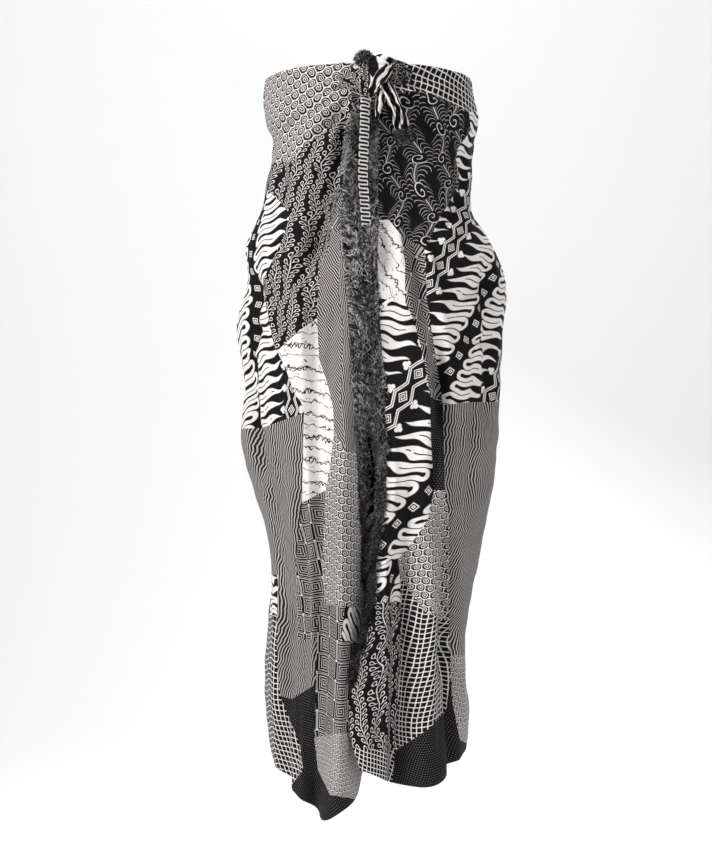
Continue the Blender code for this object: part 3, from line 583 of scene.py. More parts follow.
def drawFeathers(u, v):
    # swaying stems with barbs, and curls to the two sides by turns
    repeat, curlRadius, coils, curlAside = 1.9, 0.23, 6.2, 0.13
    bend = u.cloud(v, 0.55) * 1.1
    u, v = u + bend, v - bend * 0.8
    x = u.cell()
    y = v / repeat + u.floor().odd() * 0.5
    side = x - y.wave() * 0.18
    away = side.size()
    barbReach = (y * 3 + 0.2).wave() * 0.07 + 0.44
    barb = (y * 13 - (away + 0.004).run("SQRT") * 9.0 + away * away * 18).cell().size().under(0.058, 0.06)
    barb = barb * away.under(barbReach, 0.06)
    curls = barb * 0
    clear = barb * 0 + 1
    for hand, level in ((-1, 0.22), (1, 0.72)):
        across = x - hand * curlAside
        along = (y - level).cell() * repeat
        radius = across.away(along)
        curl = (radius * coils - along.turn(across) * hand).cell().size().under(0.075, 0.06)
        curls = curls.most(curl * radius.under(curlRadius, 0.02))
        clear = clear * radius.over(curlRadius, 0.02)
    return (barb * 0.75 * clear).most(away.under(0.014, 0.012) * clear).most(curls)


def drawSprigs(u, v):
    # winding stems with looped leaves on both sides
    leafPitch, leafAside, leafLength, leafWidth = 0.36, 0.25, 0.17, 0.100
    bend = u.cloud(v, 0.50) * 1.3
    u, v = u + bend, v + bend * 0.6
    y = v + u.floor().odd() * 0.37
    side = u.cell() - (y * 0.5).wave() * 0.13
    drawn = side.size().under(0.020, 0.03)
    for hand in (-1, 1):
        a = side * hand - leafAside
        b = (y / leafPitch + (0.5 if hand > 0 else 0)).cell() * leafPitch
        along = a * 0.70 + b * 0.71
        aside = b * 0.70 - a * 0.71
        taper = along * 2.2 + 1.0
        shape = (along / leafLength).away(aside / (taper * leafWidth))
        ring = (shape - 0.80).size().under(0.15, 0.12)
        stalk = aside.size().under(0.020, 0.02) * (along + 0.20).size().under(0.08, 0.02)
        drawn = drawn.most(ring).most(stalk)
    return drawn


def hairpins(a, u, v):
    # bands that turn round a bulb near the squares and taper away from it
    pitch, lean, bulbAt, bulbWidth = 0.205, 0.52, 0.20, 0.185
    ripple = (a * 2.6 + v * 0.7).wave() * 0.11 + u.cloud(v, 2.6) * 0.30
    s = ((v + u * lean) / pitch + ripple).cell()
    side = s.size()
    bulb = (a - bulbAt).away(s * bulbWidth)
    opening = (a - 0.46).most(0) * 1.10 + (a * 3.4 + v).wave() * 0.025 + 0.125
    tongue = (side.under(opening, 0.05) * a.over(bulbAt, 0.01)).most(bulb.under(0.030, 0.010))
    outer = a.over(bulbAt, 0.01).most(bulb.under(0.084, 0.010))
    crack = side.over(0.462, 0.03) * (a + u.cloud(v, 5.0) * 0.5).under(0.50, 0.02)
    return outer * (tongue * -1 + 1) * (crack * -1 + 1)


def nestedSquares(a, v):
    pitch, ring, reach = 0.27, 0.0265, 0.056
    q = ((v / pitch).cell() * pitch).size().most(a)
    return (q / ring).cell().size().under(0.24, 0.10) * q.under(reach, 0.008)


def diamondChain(d, v):
    # two border lines round nested diamonds, with a three-leaved clover past each
    pitch, ring, reach = 0.33, 0.036, 0.094
    y = (v / pitch).cell()
    c = y * pitch
    line = d + y.size() * 0.15 - 0.075
    border = (line - 0.036).size().under(0.0075, 0.006).most((line - 0.063).size().under(0.0075, 0.006))
    nested = c.size() + d * 1.2
    diamond = (nested / ring + 0.45).cell().size().under(0.23, 0.10) * nested.under(reach, 0.008)
    clover = (d - 0.212).away(c).under(0.031, 0.008)
    for hand in (-1, 1):
        clover = clover.most((d - 0.178).away(c - hand * 0.031).under(0.028, 0.008))
    stalk = c.size().under(0.008, 0.006) * (d - 0.155).size().under(0.022, 0.006)
    return border.most(diamond).most(clover).most(stalk)


def drawBlades(u, v):
    # hairpin bands run from a line of small squares, where a is 0, to a chain of diamonds, where a is 1
    a = u.fract()
    a = a + u.floor().odd() * (a * -2 + 1)
    return hairpins(a, u, v).most(nestedSquares(a, v)).most(diamondChain(a * -1 + 1, v))


def drawGrain(u, v):
    drift = (u * 0.04).cloud(v * 0.035, 1.0, 1.5) * 5 + (u * 0.10).cloud(v * 0.24, 1.0) * 2.0
    return (u + drift).cell().size().under(0.185, 0.12) * 0.62 + 0.015


def drawKey(u, v):
    # square spirals, mirrored from cell to cell, with a dot where four cells meet; the spirals are drawn
    # grey, at 0.64 of full white, as painted shade that darkens the key patches
    flip = (u.floor() + v.floor()).odd()
    x = u.cell() * (flip * -2 + 1)
    y = v.cell()
    radius = x.size().most(y.size()) * 2
    quarter = ((y.turn(x) + 0.625).fract() * 4).floor() / 4
    spiral = (radius * 3.75 - quarter).cell().size().under(0.17, 0.10)
    dot = (x.size() * -1 + 0.5).away(y.size() * -1 + 0.5).under(0.055, 0.03)
    return (spiral * 0.64).most(dot)


def drawScribble(u, v):
    # thin dark lines, some of them jagged, on a white ground
    bend = u.cloud(v, 1.1, 2.0)
    band = (v + bend * 1.3).cell().size().under(0.040, 0.030)
    zig = (u * 2.2 + bend).cell().size() * 0.42 + bend * 1.1
    zigzag = (v * 0.5 + 0.25 + zig * 0.5).cell().size().under(0.026, 0.02)
    dashes = (v * 2.0 + bend * 5.0).cell().size().under(0.045, 0.04) * u.cloud(v, 1.6).over(0.07, 0.02)
    return band.most(zigzag).most(dashes) * -1 + 1


def drawPinDots(u, v):
    x = (u + v.floor().odd() * 0.5).cell()
    return x.away(v.cell()).under(0.15, 0.12) * 0.24


def drawStripes(u, v):
    drift = u.cloud(v, 0.45, 1.5) * 2.2
    return (u + drift).cell().size().under(0.18, 0.05)


def drawFret(u, v):
    # bars across the folded strip, joined at its two sides by turns
    y = v * 2.7 - u * 0.5
    bar = y.cell().size().under(0.20, 0.10) * u.size().under(0.42, 0.04)
    hand = (y + 0.5).floor().odd()
    link = (u + hand * 0.76 - 0.38).size().under(0.06, 0.04)
    return bar.most(link) * 0.68


motifs = {
    "spiralCells": drawSpiralCells, "lattice": drawLattice, "feathers": drawFeathers, "sprigs": drawSprigs,
    "blades": drawBlades, "grain": drawGrain, "key": drawKey, "scribble": drawScribble,
    "pinDots": drawPinDots, "stripes": drawStripes, "fret": drawFret,
}


def groupNamed(name, outputs):
    # a node group that takes a place on the flat cloth, with its two parts as signals
    group = bpy.data.node_groups.new(name, "ShaderNodeTree")
    group.interface.new_socket("Place", in_out="INPUT", socket_type="NodeSocketVector")
    for socket in outputs:
        group.interface.new_socket(socket, in_out="OUTPUT", socket_type="NodeSocketFloat")
    start, end = group.nodes.new("NodeGroupInput"), group.nodes.new("NodeGroupOutput")
    split = group.nodes.new("ShaderNodeSeparateXYZ")
    group.links.new(start.outputs["Place"], split.inputs[0])
    return group, end, Signal(group, split.outputs["X"]), Signal(group, split.outputs["Y"])


def motifGroup(name):
    group, end, u, v = groupNamed(name, ["White"])
    group.links.new(motifs[name](u, v).socket, end.inputs["White"])
    return group


def weaveGroup():
    # plain weave, worn tone and small slubs
    group, end, u, v = groupNamed("weave", ["Height", "Tone"])
    threads = (u * 1500).wave() * (v * 1500).wave()
    slubs = (u * 60).cloud(v * 900, 1.0)
    tone = u.cloud(v, 14, 3.0) * 0.22 + (u * 40).cloud(v * 600, 1.0) * 0.16 + 0.98
    group.links.new((threads * 0.5 + slubs).socket, end.inputs["Height"])
    group.links.new(tone.socket, end.inputs["Tone"])
    return group


motifGroups = {name: motifGroup(name) for name in motifs}
weave = weaveGroup()

printValues = {
    "dark": (0.006, 0.0055, 0.006, 1), "light": (0.86, 0.82, 0.80, 1), "shade": 1.0, "roughness": 0.82,
    "specular": 0.16, "bump": 0.25, "bumpDistance": 0.0003,
}


def finishMaterial(material, values, factor, shade, height):
    # dark to light by the factor, times the shade, with a bump from the height
    nodes, links = material.node_tree.nodes, material.node_tree.links
    shader = nodes["Principled BSDF"]
    shader.inputs["Roughness"].default_value = values["roughness"]
    shader.inputs["Specular IOR Level"].default_value = values["specular"]
    mix, times = nodes.new("ShaderNodeMix"), nodes.new("ShaderNodeMix")
    mix.data_type = times.data_type = "RGBA"
    mix.inputs["A"].default_value = values["dark"]
    mix.inputs["B"].default_value = values["light"]
    links.new(factor, mix.inputs["Factor"])
    times.blend_type = "MULTIPLY"
    times.inputs["Factor"].default_value = values["shade"]
    links.new(mix.outputs["Result"], times.inputs["A"])
    links.new(shade, times.inputs["B"])
    links.new(times.outputs["Result"], shader.inputs["Base Color"])
    bump = nodes.new("ShaderNodeBump")
    bump.inputs["Strength"].default_value = values["bump"]
    bump.inputs["Distance"].default_value = values["bumpDistance"]
    links.new(height, bump.inputs["Height"])
    links.new(bump.outputs["Normal"], shader.inputs["Normal"])


def printMaterial(name, motif, unit, turn, shift=(0, 0)):
    # a unit less than nothing draws the motif mirrored
    material = bpy.data.materials.new(name)
    material.use_nodes = True
    nodes, links = material.node_tree.nodes, material.node_tree.links
    place = nodes.new("ShaderNodeUVMap")
    place.uv_map = "cloth"
    mapping = nodes.new("ShaderNodeMapping")
    mapping.inputs["Scale"].default_value = (1 / unit, 1 / abs(unit), 1)
    mapping.inputs["Rotation"].default_value = (0, 0, math.radians(turn))
    mapping.inputs["Location"].default_value = (*shift, 0)
    links.new(place.outputs["UV"], mapping.inputs["Vector"])
    drawn, cloth = nodes.new("ShaderNodeGroup"), nodes.new("ShaderNodeGroup")
    drawn.node_tree = motifGroups[motif]
    cloth.node_tree = weave
    links.new(mapping.outputs["Vector"], drawn.inputs["Place"])
    links.new(place.outputs["UV"], cloth.inputs["Place"])
    worn = cloth.outputs
    finishMaterial(material, printValues, drawn.outputs["White"], worn["Tone"], worn["Height"])
    return material


# Patches of the print: motif, unit in metres, turn in degrees, an outline in the picture's frame of 712 by
# 846, as seen from the front, or from behind for the back, and the place of the motif's origin where it
# matters. A later patch lies over an earlier one.

patches = {
    "rightFront": (
        ("grain", 0.0041, 16, ((150, 0), (420, 0), (420, 846), (150, 846))),
        ("spiralCells", 0.0150, -28, (
            (230, 20), (352, 20), (352, 100), (332, 125), (300, 150), (290, 162), (230, 165))),
        ("sprigs", 0.0230, 20, (
            (230, 165), (290, 162), (300, 150), (332, 125), (352, 100), (400, 100), (400, 190), (345, 190),
            (332, 205), (329, 248), (321, 267), (318, 294), (317, 318), (300, 330), (277, 351), (274, 346),
            (266, 307), (263, 280), (282, 240), (290, 215), (283, 205), (268, 190), (230, 190))),
        ("blades", -0.0950, -6, (
            (200, 190), (268, 190), (283, 205), (290, 215), (282, 240), (263, 280), (266, 307), (274, 346),
            (277, 351), (285, 367), (290, 381), (294, 393), (301, 402), (304, 413), (278, 422), (262, 428),
            (200, 430)), (256, 330)),
        ("key", 0.0280, 40, ((332, 205), (345, 190), (400, 190), (400, 232), (330, 232))),
        ("grain", 0.0038, -34, (
            (330, 232), (400, 232), (400, 452), (345, 452), (334, 430), (333, 407), (328, 385), (319, 359),
            (317, 318), (318, 294), (321, 267), (329, 248))),
        ("grain", 0.0036, -3, (
            (341, 232), (400, 232), (400, 452), (346, 452), (340, 400), (343, 330), (338, 290))),
        ("scribble", 0.0165, 8, (
            (317, 318), (319, 359), (328, 385), (333, 407), (334, 430), (330, 467), (326, 490), (302, 503),
            (304, 413), (301, 402), (294, 393), (290, 381), (285, 367), (277, 351), (300, 330))),
        ("spiralCells", 0.0125, 8, (
            (334, 430), (345, 452), (400, 452), (400, 611), (345, 606), (325, 605), (322, 560), (324, 520),
            (326, 490), (330, 467))),
        ("key", 0.0270, 2, (
            (302, 503), (326, 490), (324, 520), (322, 560), (325, 605), (318, 640), (299, 640),
            (296, 560))),
        ("key", 0.0280, 3, (
            (318, 608), (325, 605), (345, 606), (362, 641), (358, 700), (352, 732), (314, 737),
            (316, 684))),
        ("blades", 0.0900, 30, ((345, 606), (400, 611), (400, 641), (341, 641)), (330, 640)),
        ("lattice", 0.0079, 3, (
            (200, 600), (276, 600), (277, 663), (280, 696), (290, 720), (300, 745), (303, 770), (288, 790),
            (200, 790))),
        ("blades", 0.0900, -20, ((200, 575), (278, 575), (277, 615), (200, 618))),
        ("pinDots", 0.0036, 20, (
            (280, 696), (292, 699), (316, 684), (314, 737), (318, 770), (330, 795), (362, 800), (400, 846),
            (200, 846), (200, 790), (288, 790), (303, 770), (300, 745), (290, 720))),
        ("spiralCells", 0.0080, 0, (
            (314, 737), (352, 732), (400, 740), (400, 805), (362, 800), (330, 795), (318, 770))),
    ),
    "leftFront": (
        ("grain", 0.0040, 4, ((300, 0), (560, 0), (560, 846), (300, 846))),
        ("lattice", 0.0096, 14, (
            (320, 20), (520, 20), (520, 112), (469, 112), (455, 105), (430, 92), (395, 90), (320, 86))),
        ("feathers", 0.0440, -14, (
            (320, 86), (395, 90), (430, 92), (455, 105), (469, 112), (471, 130), (458, 148), (456, 159),
            (459, 175), (458, 187), (449, 203), (437, 223), (430, 240), (424, 248), (410, 240), (401, 235),
            (389, 220), (320, 220))),
        ("blades", -0.1000, -33, (
            (469, 112), (560, 100), (560, 402), (470, 402), (443, 405), (440, 385), (434, 345), (427, 300),
            (426, 262), (424, 248), (430, 240), (437, 223), (449, 203), (458, 187), (459, 175), (456, 159),
            (458, 148), (471, 130)), (473, 334)),
        ("scribble", 0.0165, 56, ((320, 220), (389, 220), (401, 235), (405, 262), (405, 302), (320, 290))),
        ("key", 0.0290, 24, (
            (389, 220), (401, 235), (410, 240), (424, 248), (427, 300), (434, 345), (440, 385), (443, 405),
            (430, 396), (424, 360), (414, 320), (405, 302), (405, 262), (401, 235))),
        # painted shade: this near-black pin-dot strip stands for the key band where it turns into the shaded
        # valley beside it
        ("pinDots", 0.0036, 0, ((430, 396), (443, 405), (445, 490), (434, 490), (431, 440))),
        ("blades", -0.1180, -40, (
            (320, 290), (405, 302), (414, 320), (424, 360), (430, 396), (431, 440), (434, 490), (428, 520),
            (410, 545), (398, 560), (320, 545)), (424, 500)),
        ("spiralCells", 0.0120, -14, (
            (434, 490), (445, 490), (449, 520), (449, 622), (425, 612), (410, 592), (400, 575), (398, 560),
            (410, 545), (428, 520))),
        ("lattice", 0.0074, -6, (
            (400, 575), (410, 592), (425, 612), (449, 622), (450, 680), (446, 710), (430, 728), (395, 751),
            (398, 700), (401, 645))),
        ("pinDots", 0.0036, 0, (
            (395, 751), (430, 728), (446, 710), (450, 680), (520, 690), (520, 846), (330, 846),
            (392, 785))),
        ("spiralCells", 0.0085, 0, ((450, 655), (520, 655), (520, 770), (460, 740), (452, 700))),
        ("blades", -0.1100, -30, ((320, 545), (398, 560), (400, 575), (401, 602), (320, 602)), (392, 590)),
        ("sprigs", 0.0260, -10, ((320, 602), (401, 602), (401, 645), (398, 700), (395, 751), (320, 745))),
        ("lattice", 0.0068, 28, ((320, 745), (395, 751), (392, 785), (330, 846), (320, 846))),
    ),
    "backCloth": (
        ("grain", 0.0046, 5, ((150, 0), (560, 0), (560, 846), (150, 846))),
        ("spiralCells", 0.0150, 18, ((150, 0), (330, 0), (318, 96), (280, 150), (150, 172))),
        ("feathers", 0.0440, 10, (
            (330, 0), (560, 0), (560, 150), (452, 176), (380, 214), (300, 205), (280, 150), (318, 96))),
        ("sprigs", 0.0230, -12, ((150, 172), (280, 150), (300, 205), (296, 280), (246, 322), (150, 330))),
        ("blades", 0.0950, -18, (
            (300, 205), (380, 214), (452, 176), (560, 150), (560, 330), (438, 352), (350, 392),
            (296, 280))),
        ("scribble", 0.0170, -12, ((246, 322), (296, 280), (350, 392), (336, 470), (276, 480), (252, 400))),
        ("key", 0.0280, -16, ((150, 330), (246, 322), (252, 400), (276, 480), (150, 492))),
        ("spiralCells", 0.0125, -8, ((438, 352), (560, 330), (560, 470), (470, 500), (426, 440))),
        ("lattice", 0.0100, 12, (
            (336, 470), (350, 392), (438, 352), (426, 440), (470, 500), (440, 560), (372, 570))),
        ("blades", 0.0950, 12, ((150, 492), (276, 480), (336, 470), (372, 570), (300, 622), (150, 610))),
        ("sprigs", 0.0210, 30, ((372, 570), (440, 560), (456, 650), (410, 716), (352, 690), (340, 612))),
        ("pinDots", 0.0036, 0, ((150, 700), (300, 690), (352, 690), (410, 716), (424, 846), (150, 846))),
        ("lattice", 0.0080, 45, ((410, 716), (456, 650), (560, 640), (560, 846), (424, 846))),
    ),
}

viewFrame = {
    "across": 356,
    "down": 423,
    "focal": viewValues["lens"] / viewValues["sensorWidth"] * viewValues["pictureHeight"],
    "bin": 16,
    "margin": 4,
    "near": 3,
}
cutTolerance = 0.00002


def eyePlace(behind):
    across, depth, height = viewValues["cameraPlace"]
    return (across, -depth if behind else depth, height)


def viewPlaces(points, behind):
    away = points - np.array(eyePlace(behind))
    scale = viewFrame["focal"] / np.abs(away[..., 1])
    hand = -1 if behind else 1
    across = viewFrame["across"] + hand * away[..., 0] * scale
    return np.stack([across, viewFrame["down"] - away[..., 2] * scale], -1)


def sightLine(place, behind):
    across = (place[0] - viewFrame["across"]) / viewFrame["focal"]
    down = (viewFrame["down"] - place[1]) / viewFrame["focal"]
    return Vector((-across, -1, down)) if behind else Vector((across, 1, down))


def bordersOf(outline):
    return zip(outline, outline[1:] + outline[:1])


def insideOutline(points, outline):
    within = np.zeros(len(points), bool)
    for (ax, ay), (bx, by) in bordersOf(outline):
        if ay == by:
            continue
        crosses = (points[:, 1] > min(ay, by)) & (points[:, 1] <= max(ay, by))
        at = ax + (points[:, 1] - ay) / (by - ay) * (bx - ax)
        within ^= crosses & (points[:, 0] < at)
    return within


def originAt(mesh, middles, anchor, unit, turn, behind):
    # the shift that puts a motif's origin on the face seen at one place in the picture
    near = np.nonzero(np.hypot(*(middles - anchor).T) < viewFrame["near"])[0]
    face = min((mesh.polygons[int(i)] for i in near), key=lambda face: face.center.y * (-1 if behind else 1))
    flat = [mesh.uv_layers["cloth"].data[i].uv for i in face.loop_indices]
    across = sum(place[0] for place in flat) / len(flat) / unit
    along = sum(place[1] for place in flat) / len(flat) / abs(unit)
    cosine, sine = math.cos(math.radians(turn)), math.sin(math.radians(turn))
    return (-(across * cosine - along * sine), -(across * sine + along * cosine))


def cutBorders(shape, rows, behind):
    # planes through the eye cut the mesh along the borders; bins hold its faces by where they are seen
    size, margin = viewFrame["bin"], viewFrame["margin"]
    bins = {}

    def keep(faces):
        faces = [face for face in faces if face.is_valid]
        middles = viewPlaces(np.array([face.calc_center_median() for face in faces]), behind)
        for face, middle in zip(faces, middles):
            bins.setdefault((int(middle[0] // size), int(middle[1] // size)), set()).add(face)

    keep(shape.faces)
    done = set()
    for row in rows[1:]:
        for start, end in bordersOf(row[3]):
            if (start, end) in done or (end, start) in done:
                continue
            done.add((start, end))
            low = [int((min(pair) - margin) // size) for pair in zip(start, end)]
            high = [int((max(pair) + margin) // size) for pair in zip(start, end)]
            near = set()
            for i in range(low[0], high[0] + 1):
                for j in range(low[1], high[1] + 1):
                    near |= bins.get((i, j), set())
            if not near:
                continue
            parts = list(near) + list({edge for face in near for edge in face.edges})
            parts += list({corner for face in near for corner in face.verts})
            normal = sightLine(start, behind).cross(sightLine(end, behind)).normalized()
            eye = Vector(eyePlace(behind))
            cut = bmesh.ops.bisect_plane(shape, geom=parts, dist=cutTolerance, plane_co=eye, plane_no=normal)
            keep([part for part in cut["geom"] if isinstance(part, bmesh.types.BMFace)])


def printPatches(sheet, rows, behind):
    mesh = sheet.data
    shape = bmesh.new()
    shape.from_mesh(mesh)
    cutBorders(shape, rows, behind)
    shape.to_mesh(mesh)
    shape.free()
    middles = np.empty(len(mesh.polygons) * 3)
    mesh.polygons.foreach_get("center", middles)
    middles = viewPlaces(middles.reshape(-1, 3), behind)
    chosen = np.zeros(len(middles), np.int32)
    for number, (motif, unit, turn, outline, *anchor) in enumerate(rows):
        shift = originAt(mesh, middles, anchor[0], unit, turn, behind) if anchor else (0, 0)
        mesh.materials.append(printMaterial(sheet.name + str(number) + motif, motif, unit, turn, shift))
        chosen[insideOutline(middles, outline)] = number
    mesh.polygons.foreach_set("material_index", chosen)
    mesh.update()


def gridPiece(name, places, around, along):
    # a grid primitive laid out on rows of places, with its place on the flat cloth as a UV map
    rows, columns = places.shape[:2]
    bpy.ops.object.select_all(action="DESELECT")
    bpy.ops.mesh.primitive_grid_add(
        x_subdivisions=columns - 1, y_subdivisions=rows - 1, size=1, calc_uvs=False)
    piece = bpy.context.object
    piece.name = name
    mesh = piece.data
    mesh.name = name
    mesh.vertices.foreach_set("co", places[::-1].reshape(-1).astype(np.float32))
    corners = np.empty(len(mesh.loops), np.int32)
    mesh.loops.foreach_get("vertex_index", corners)
    flat = np.stack([around[::-1].reshape(-1), along[::-1].reshape(-1)], -1)[corners]
    mesh.uv_layers.new(name="cloth").data.foreach_set("uv", flat.reshape(-1).astype(np.float32))
    mesh.update()
    return piece


def clothSheet(name, turns, nodes):
    drops = spread(0, 1, clothValues["rows"], clothValues["rowCrowding"])
    turn, drop = np.meshgrid(turns, drops)
    places = clothPlaces(turn, drop)
    smooth = clothForm(turn, drop)[0]
    steps = np.linalg.norm(np.diff(smooth, axis=1), axis=-1)
    around = np.concatenate([np.zeros((len(drops), 1)), np.cumsum(steps, axis=1)], axis=1)
    if name == "rightFront":
        around = around - around[:, -1:]
    if name == "backCloth":
        around = around - around[:, len(turns) // 2, None]
    falls = np.linalg.norm(np.diff(smooth, axis=0), axis=-1)
    along = -np.concatenate([np.zeros((1, len(turns))), np.cumsum(falls, axis=0)], axis=0)
    sheet = gridPiece(name, places, around, along)
    printPatches(sheet, patches[name], name == "backCloth")
    bpy.ops.object.shade_smooth()
    wall = sheet.modifiers.new("wall", "SOLIDIFY")
    wall.thickness = clothValues["thickness"]
    wall.offset = -1
    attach(sheet, "root")
    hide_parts(*nodes)
    print(name, "cut into patches,", len(sheet.data.polygons), "faces")


leftSeam, rightSeam = clothValues["leftSeam"], clothValues["rightSeam"]
leftTurns = spread(0, leftSeam, clothValues["frontColumns"], clothValues["edgeCrowding"])
rightTurns = spread(360, rightSeam, clothValues["frontColumns"], clothValues["edgeCrowding"])[::-1]
backTurns = spread(leftSeam, rightSeam, clothValues["backColumns"], 1)
clothSheet("leftFront", leftTurns, ("left_front", "left_side"))
clothSheet("rightFront", rightTurns, ("right_front",))
clothSheet("backCloth", backTurns, ("back",))


# Bundles of gathered cloth in the knot. Each route row is a place, across, depth and height, with the half
# width as seen from the front and the half thickness front to back. Ridges are a count and a depth. Prints
# are the share of the length where each starts, then its motif, unit, turn and shift.

knotPieces = {
    "knotLoop": {
        "route": (
            (0.060, -0.106, -0.016, 0.0140, 0.0030), (0.047, -0.113, -0.015, 0.0170, 0.0060),
            (0.033, -0.122, -0.014, 0.0185, 0.0090), (0.019, -0.130, -0.011, 0.0200, 0.0110),
            (0.007, -0.131, -0.008, 0.0180, 0.0100), (-0.002, -0.126, -0.007, 0.0090, 0.0060)),
        "node": "knot_loop", "pleats": 7, "depth": 0.26, "twist": 0.5, "ridges": (4, 0.0016),
        "prints": ((0, "feathers", 0.0260, 70), (0.62, "stripes", 0.0300, 96))},
    "knotWrap": {
        "route": (
            (0.030, -0.127, 0.000, 0.0040, 0.0040), (0.024, -0.137, -0.012, 0.0080, 0.0065),
            (0.016, -0.143, -0.024, 0.0098, 0.0075), (0.007, -0.142, -0.036, 0.0085, 0.0065),
            (-0.001, -0.133, -0.048, 0.0040, 0.0040)),
        "node": "knot_loop", "pleats": 4, "depth": 0.34, "twist": 0.5, "ridges": (4, 0.0014),
        "prints": ((0, "stripes", 0.0140, 3, (0.1, 0.0)),)},
    "knotSideTail": {
        "route": (
            (0.017, -0.124, -0.030, 0.0080, 0.0060), (0.024, -0.131, -0.041, 0.0115, 0.0070),
            (0.030, -0.134, -0.054, 0.0110, 0.0055), (0.035, -0.134, -0.068, 0.0105, 0.0040),
            (0.041, -0.132, -0.083, 0.0120, 0.0030), (0.046, -0.129, -0.098, 0.0125, 0.0022)),
        "node": "knot_side_tail", "pleats": 5, "depth": 0.22, "twist": 0.2, "ridges": (4, 0.0034),
        "prints": ((0, "stripes", 0.0120, 8, (0.2, 0.0)),)},
    "knotBundle": {
        "route": (
            (-0.009, -0.123, 0.004, 0.0075, 0.0070), (-0.010, -0.126, -0.010, 0.0095, 0.0100),
            (-0.010, -0.128, -0.026, 0.0100, 0.0110), (-0.009, -0.128, -0.042, 0.0085, 0.0090),
            (-0.008, -0.126, -0.057, 0.0060, 0.0055)),
        "node": "knot_bundle", "pleats": 7, "depth": 0.34, "twist": 0.3, "ridges": (3, 0.0010),
        "prints": ((0, "sprigs", 0.0190, 4),)},
    "knotGather": {
        "route": (
            (-0.056, -0.106, -0.031, 0.0160, 0.0030), (-0.043, -0.112, -0.030, 0.0165, 0.0060),
            (-0.030, -0.119, -0.025, 0.0160, 0.0085), (-0.018, -0.123, -0.021, 0.0150, 0.0085),
            (-0.008, -0.124, -0.019, 0.0120, 0.0060)),
        "node": "knot_gather", "pleats": 7, "depth": 0.34, "twist": 0.1, "ridges": (4, 0.0014),
        "prints": ((0, "sprigs", 0.0170, 70),)},
    "knotSmallTail": {
        "route": (
            (0.015, -0.130, -0.040, 0.0045, 0.0045), (0.015, -0.134, -0.052, 0.0072, 0.0042),
            (0.012, -0.134, -0.066, 0.0060, 0.0030), (0.008, -0.131, -0.085, 0.0014, 0.0012)),
        "node": "knot_small_tail", "pleats": 3, "depth": 0.24, "twist": 0.0, "ridges": (2, 0.0016),
        "prints": ((0, "stripes", 0.0110, 6, (0.3, 0.0)),)},
    "hangingStrip": {
        "route": (
            (-0.008, -0.128, -0.048, 0.0062, 0.0026), (-0.008, -0.136, -0.064, 0.0068, 0.0020),
            (-0.009, -0.140, -0.095, 0.0076, 0.0015), (-0.010, -0.142, -0.130, 0.0080, 0.0015),
            (-0.011, -0.143, -0.165, 0.0080, 0.0015), (-0.009, -0.143, -0.200, 0.0076, 0.0015),
            (-0.006, -0.142, -0.238, 0.0066, 0.0015)),
        "node": "hanging_strip", "pleats": 0, "depth": 0.0, "twist": 0.0, "ridges": (1, 0.0008),
        "prints": ((0, "fret", 0.0152, 0),)},
}
knotValues = {
    "along": 0.0012,
    "around": 96,
    "endRound": 0.004,
    "slopeStep": 0.05,
    "unfolded": 4.2,  # flat width of the gathered cloth for each metre of half width and half thickness
    "fineAround": 2.1,
    "fineAlong": 30,
}


def routePlace(route, at):
    after = min(len(route) - 1, int(at) + 1)
    before = after - 1
    t = at - before
    start, end = route[before], route[after]
    startSlope = (end - route[max(0, before - 1)]) / 2
    endSlope = (route[min(len(route) - 1, after + 1)] - start) / 2
    return (start * (2 * t**3 - 3 * t**2 + 1) + end * (3 * t**2 - 2 * t**3)
            + startSlope * (t**3 - 2 * t**2 + t) + endSlope * (t**3 - t**2))


def routeAxes(route, at):
    step = knotValues["slopeStep"]
    ahead = Vector(routePlace(route, min(len(route) - 1, at + step))[:3])
    behind = Vector(routePlace(route, max(0, at - step))[:3])
    tangent = (ahead - behind).normalized()
    wide = tangent.cross(Vector((0, -1, 0))).normalized()
    return wide, wide.cross(tangent).normalized()


def bundleRing(values, turns, at, halfWidth, halfThick, travelled, closing):
    # across and through the bundle for each turn round it, with folds, fine wrinkles and ridges
    ridges, ridgeDepth = values["ridges"]
    wide, long = knotValues["fineAround"], knotValues["fineAlong"]
    ring = []
    for turn in turns:
        phase = turn + values["twist"] * at
        fold = 0.5 - 0.5 * math.cos(values["pleats"] * phase + 1.3 * math.sin(phase + at * 0.7))
        fine = noise.noise(Vector((math.cos(turn) * wide, math.sin(turn) * wide, travelled * long)))
        if values["pleats"]:
            reach = closing * (1 - values["depth"] * (0.75 * fold + 0.35 * abs(fine)))
        else:
            reach = closing * (1 + 0.05 * fine)
        share = math.copysign(abs(math.cos(turn)) ** 0.8, math.cos(turn))
        through = math.copysign(abs(math.sin(turn)) ** 0.9, math.sin(turn)) * halfThick * reach
        through += ridgeDepth * closing * math.sin(ridges * math.pi * share + at * 0.9)
        ring.append((share * halfWidth * reach, through))
    return ring


